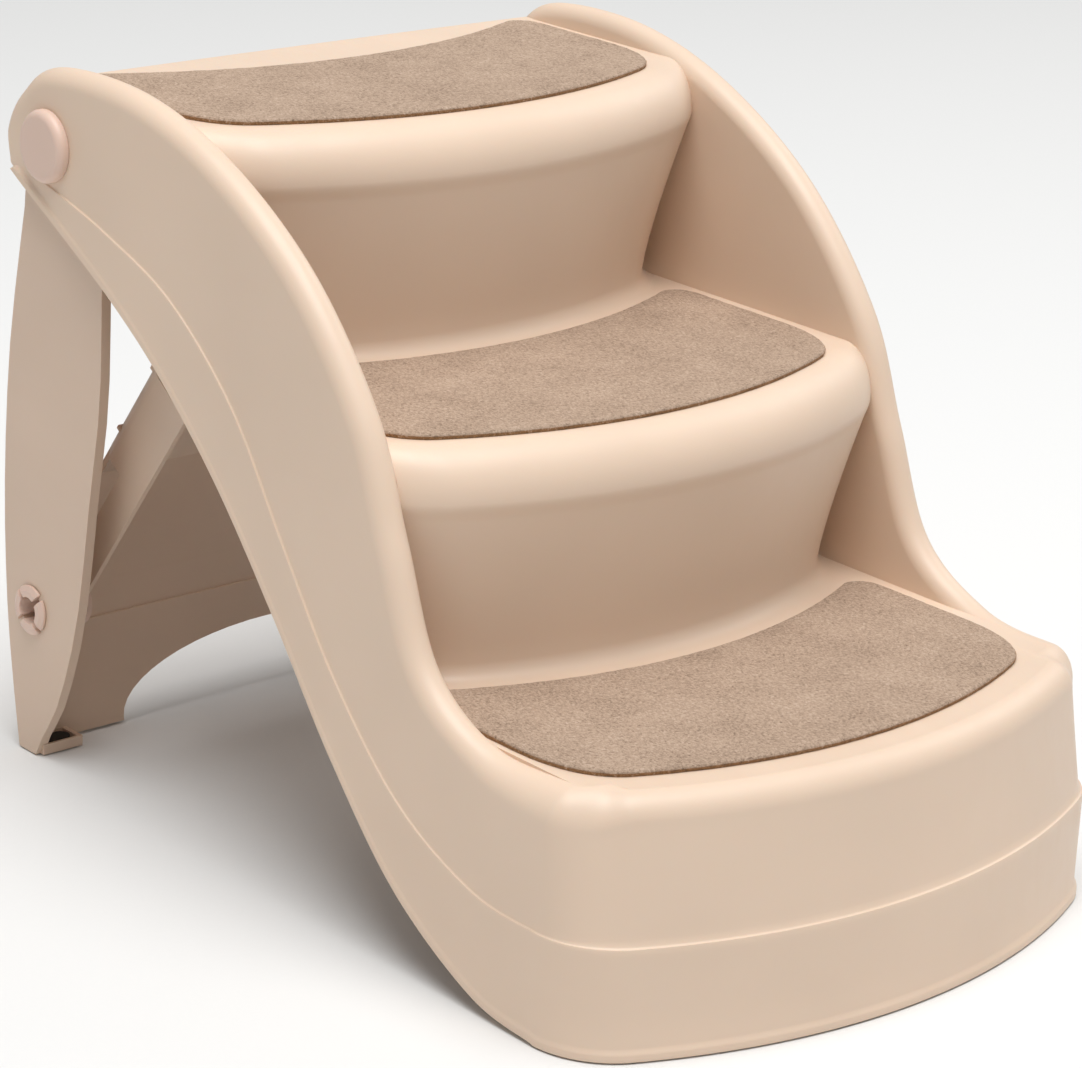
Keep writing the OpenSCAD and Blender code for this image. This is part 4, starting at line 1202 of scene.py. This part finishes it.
class PETSTAIRS_OT_stage(bpy.types.Operator):
    """Lays the pale floor, hangs the soft lights and sets up the camera"""

    bl_idname = "pet_stairs.stage"
    bl_label = "Stage"

    def light(self, name, place, side, power):
        data = bpy.data.lights.new(name, "AREA")
        data.shape = "RECTANGLE"
        data.size = data.size_y = side
        data.energy = power
        made = bpy.data.objects.new(name, data)
        made.location = place
        made.rotation_euler = (Vector(AIM) - Vector(place)).to_track_quat("-Z", "Y").to_euler()
        bpy.context.scene.collection.objects.link(made)

    def execute(self, context):
        shell = Shell(context.scene)
        scene = context.scene
        corners = [(x * FLOOR_HALF, y * FLOOR_HALF, 0) for x, y in ((-1, -1), (1, -1), (1, 1), (-1, 1))]
        floor = new_object("floor", corners, [(0, 1, 2, 3)], ("floor",))
        world = bpy.data.worlds.new("soft_studio")
        world.use_nodes = True
        world.node_tree.nodes["Background"].inputs["Color"].default_value = grey(1.0)
        world.node_tree.nodes["Background"].inputs["Strength"].default_value = WORLD_STRENGTH
        scene.world = world
        for softbox in SOFTBOXES:
            self.light(*softbox)
        camera = bpy.data.cameras.new("camera")
        camera.sensor_width = SENSOR
        camera.lens = FOCAL_PIXELS / IMAGE[0] * SENSOR
        camera.shift_x = (IMAGE[0] / 2 - AXIS_PIXEL[0]) / IMAGE[0]
        camera.shift_y = (AXIS_PIXEL[1] - IMAGE[1] / 2) / IMAGE[0]
        camera.clip_start, camera.clip_end = 0.1, 50.0
        eye = bpy.data.objects.new("camera", camera)
        right, up, back = Vector(EYE_RIGHT), Vector(EYE_UP), -Vector(EYE_FORWARD)
        turn = Matrix((right, up, back)).transposed().to_4x4()
        place = Vector((EYE[0], EYE[1] - shell.mid_y, EYE[2])) * MM
        eye.matrix_world = Matrix.Translation(place) @ turn
        scene.collection.objects.link(eye)
        scene.camera = eye
        scene.view_settings.view_transform = "Standard"
        return {"FINISHED"}


class PETSTAIRS_PT_panel(bpy.types.Panel):
    """Lists the stairs' pieces, sizes and colours"""

    bl_idname = "PETSTAIRS_PT_panel"
    bl_label = "Pet stairs"
    bl_space_type = "VIEW_3D"
    bl_region_type = "UI"
    bl_category = "Pet stairs"

    def draw(self, context):
        for operator in OPERATORS:
            self.layout.operator(operator.bl_idname)
        for key in GROUPS:
            group = getattr(context.scene, key)
            box = self.layout.box()
            for name in type(group).__annotations__:
                box.prop(group, name)


OPERATORS = (
    PETSTAIRS_OT_shell,
    PETSTAIRS_OT_mats,
    PETSTAIRS_OT_pivots,
    PETSTAIRS_OT_leg,
    PETSTAIRS_OT_brace,
    PETSTAIRS_OT_feet,
    PETSTAIRS_OT_stage,
)
GROUPS = {
    "pet_stairs_shell": PETSTAIRS_PG_shell,
    "pet_stairs_fittings": PETSTAIRS_PG_fittings,
    "pet_stairs_mats": PETSTAIRS_PG_mats,
    "pet_stairs_finish": PETSTAIRS_PG_finish,
}
CLASSES = (*GROUPS.values(), *OPERATORS, PETSTAIRS_PT_panel)


def register():
    for made in CLASSES:
        bpy.utils.register_class(made)
    for key, group in GROUPS.items():
        setattr(bpy.types.Scene, key, PointerProperty(type=group))


def unregister():
    for key in GROUPS:
        delattr(bpy.types.Scene, key)
    for made in reversed(CLASSES):
        bpy.utils.unregister_class(made)


def main():
    register()
    for operator in OPERATORS:
        family, name = operator.bl_idname.split(".")
        getattr(getattr(bpy.ops, family), name)()


if __name__ == "__main__":
    main()
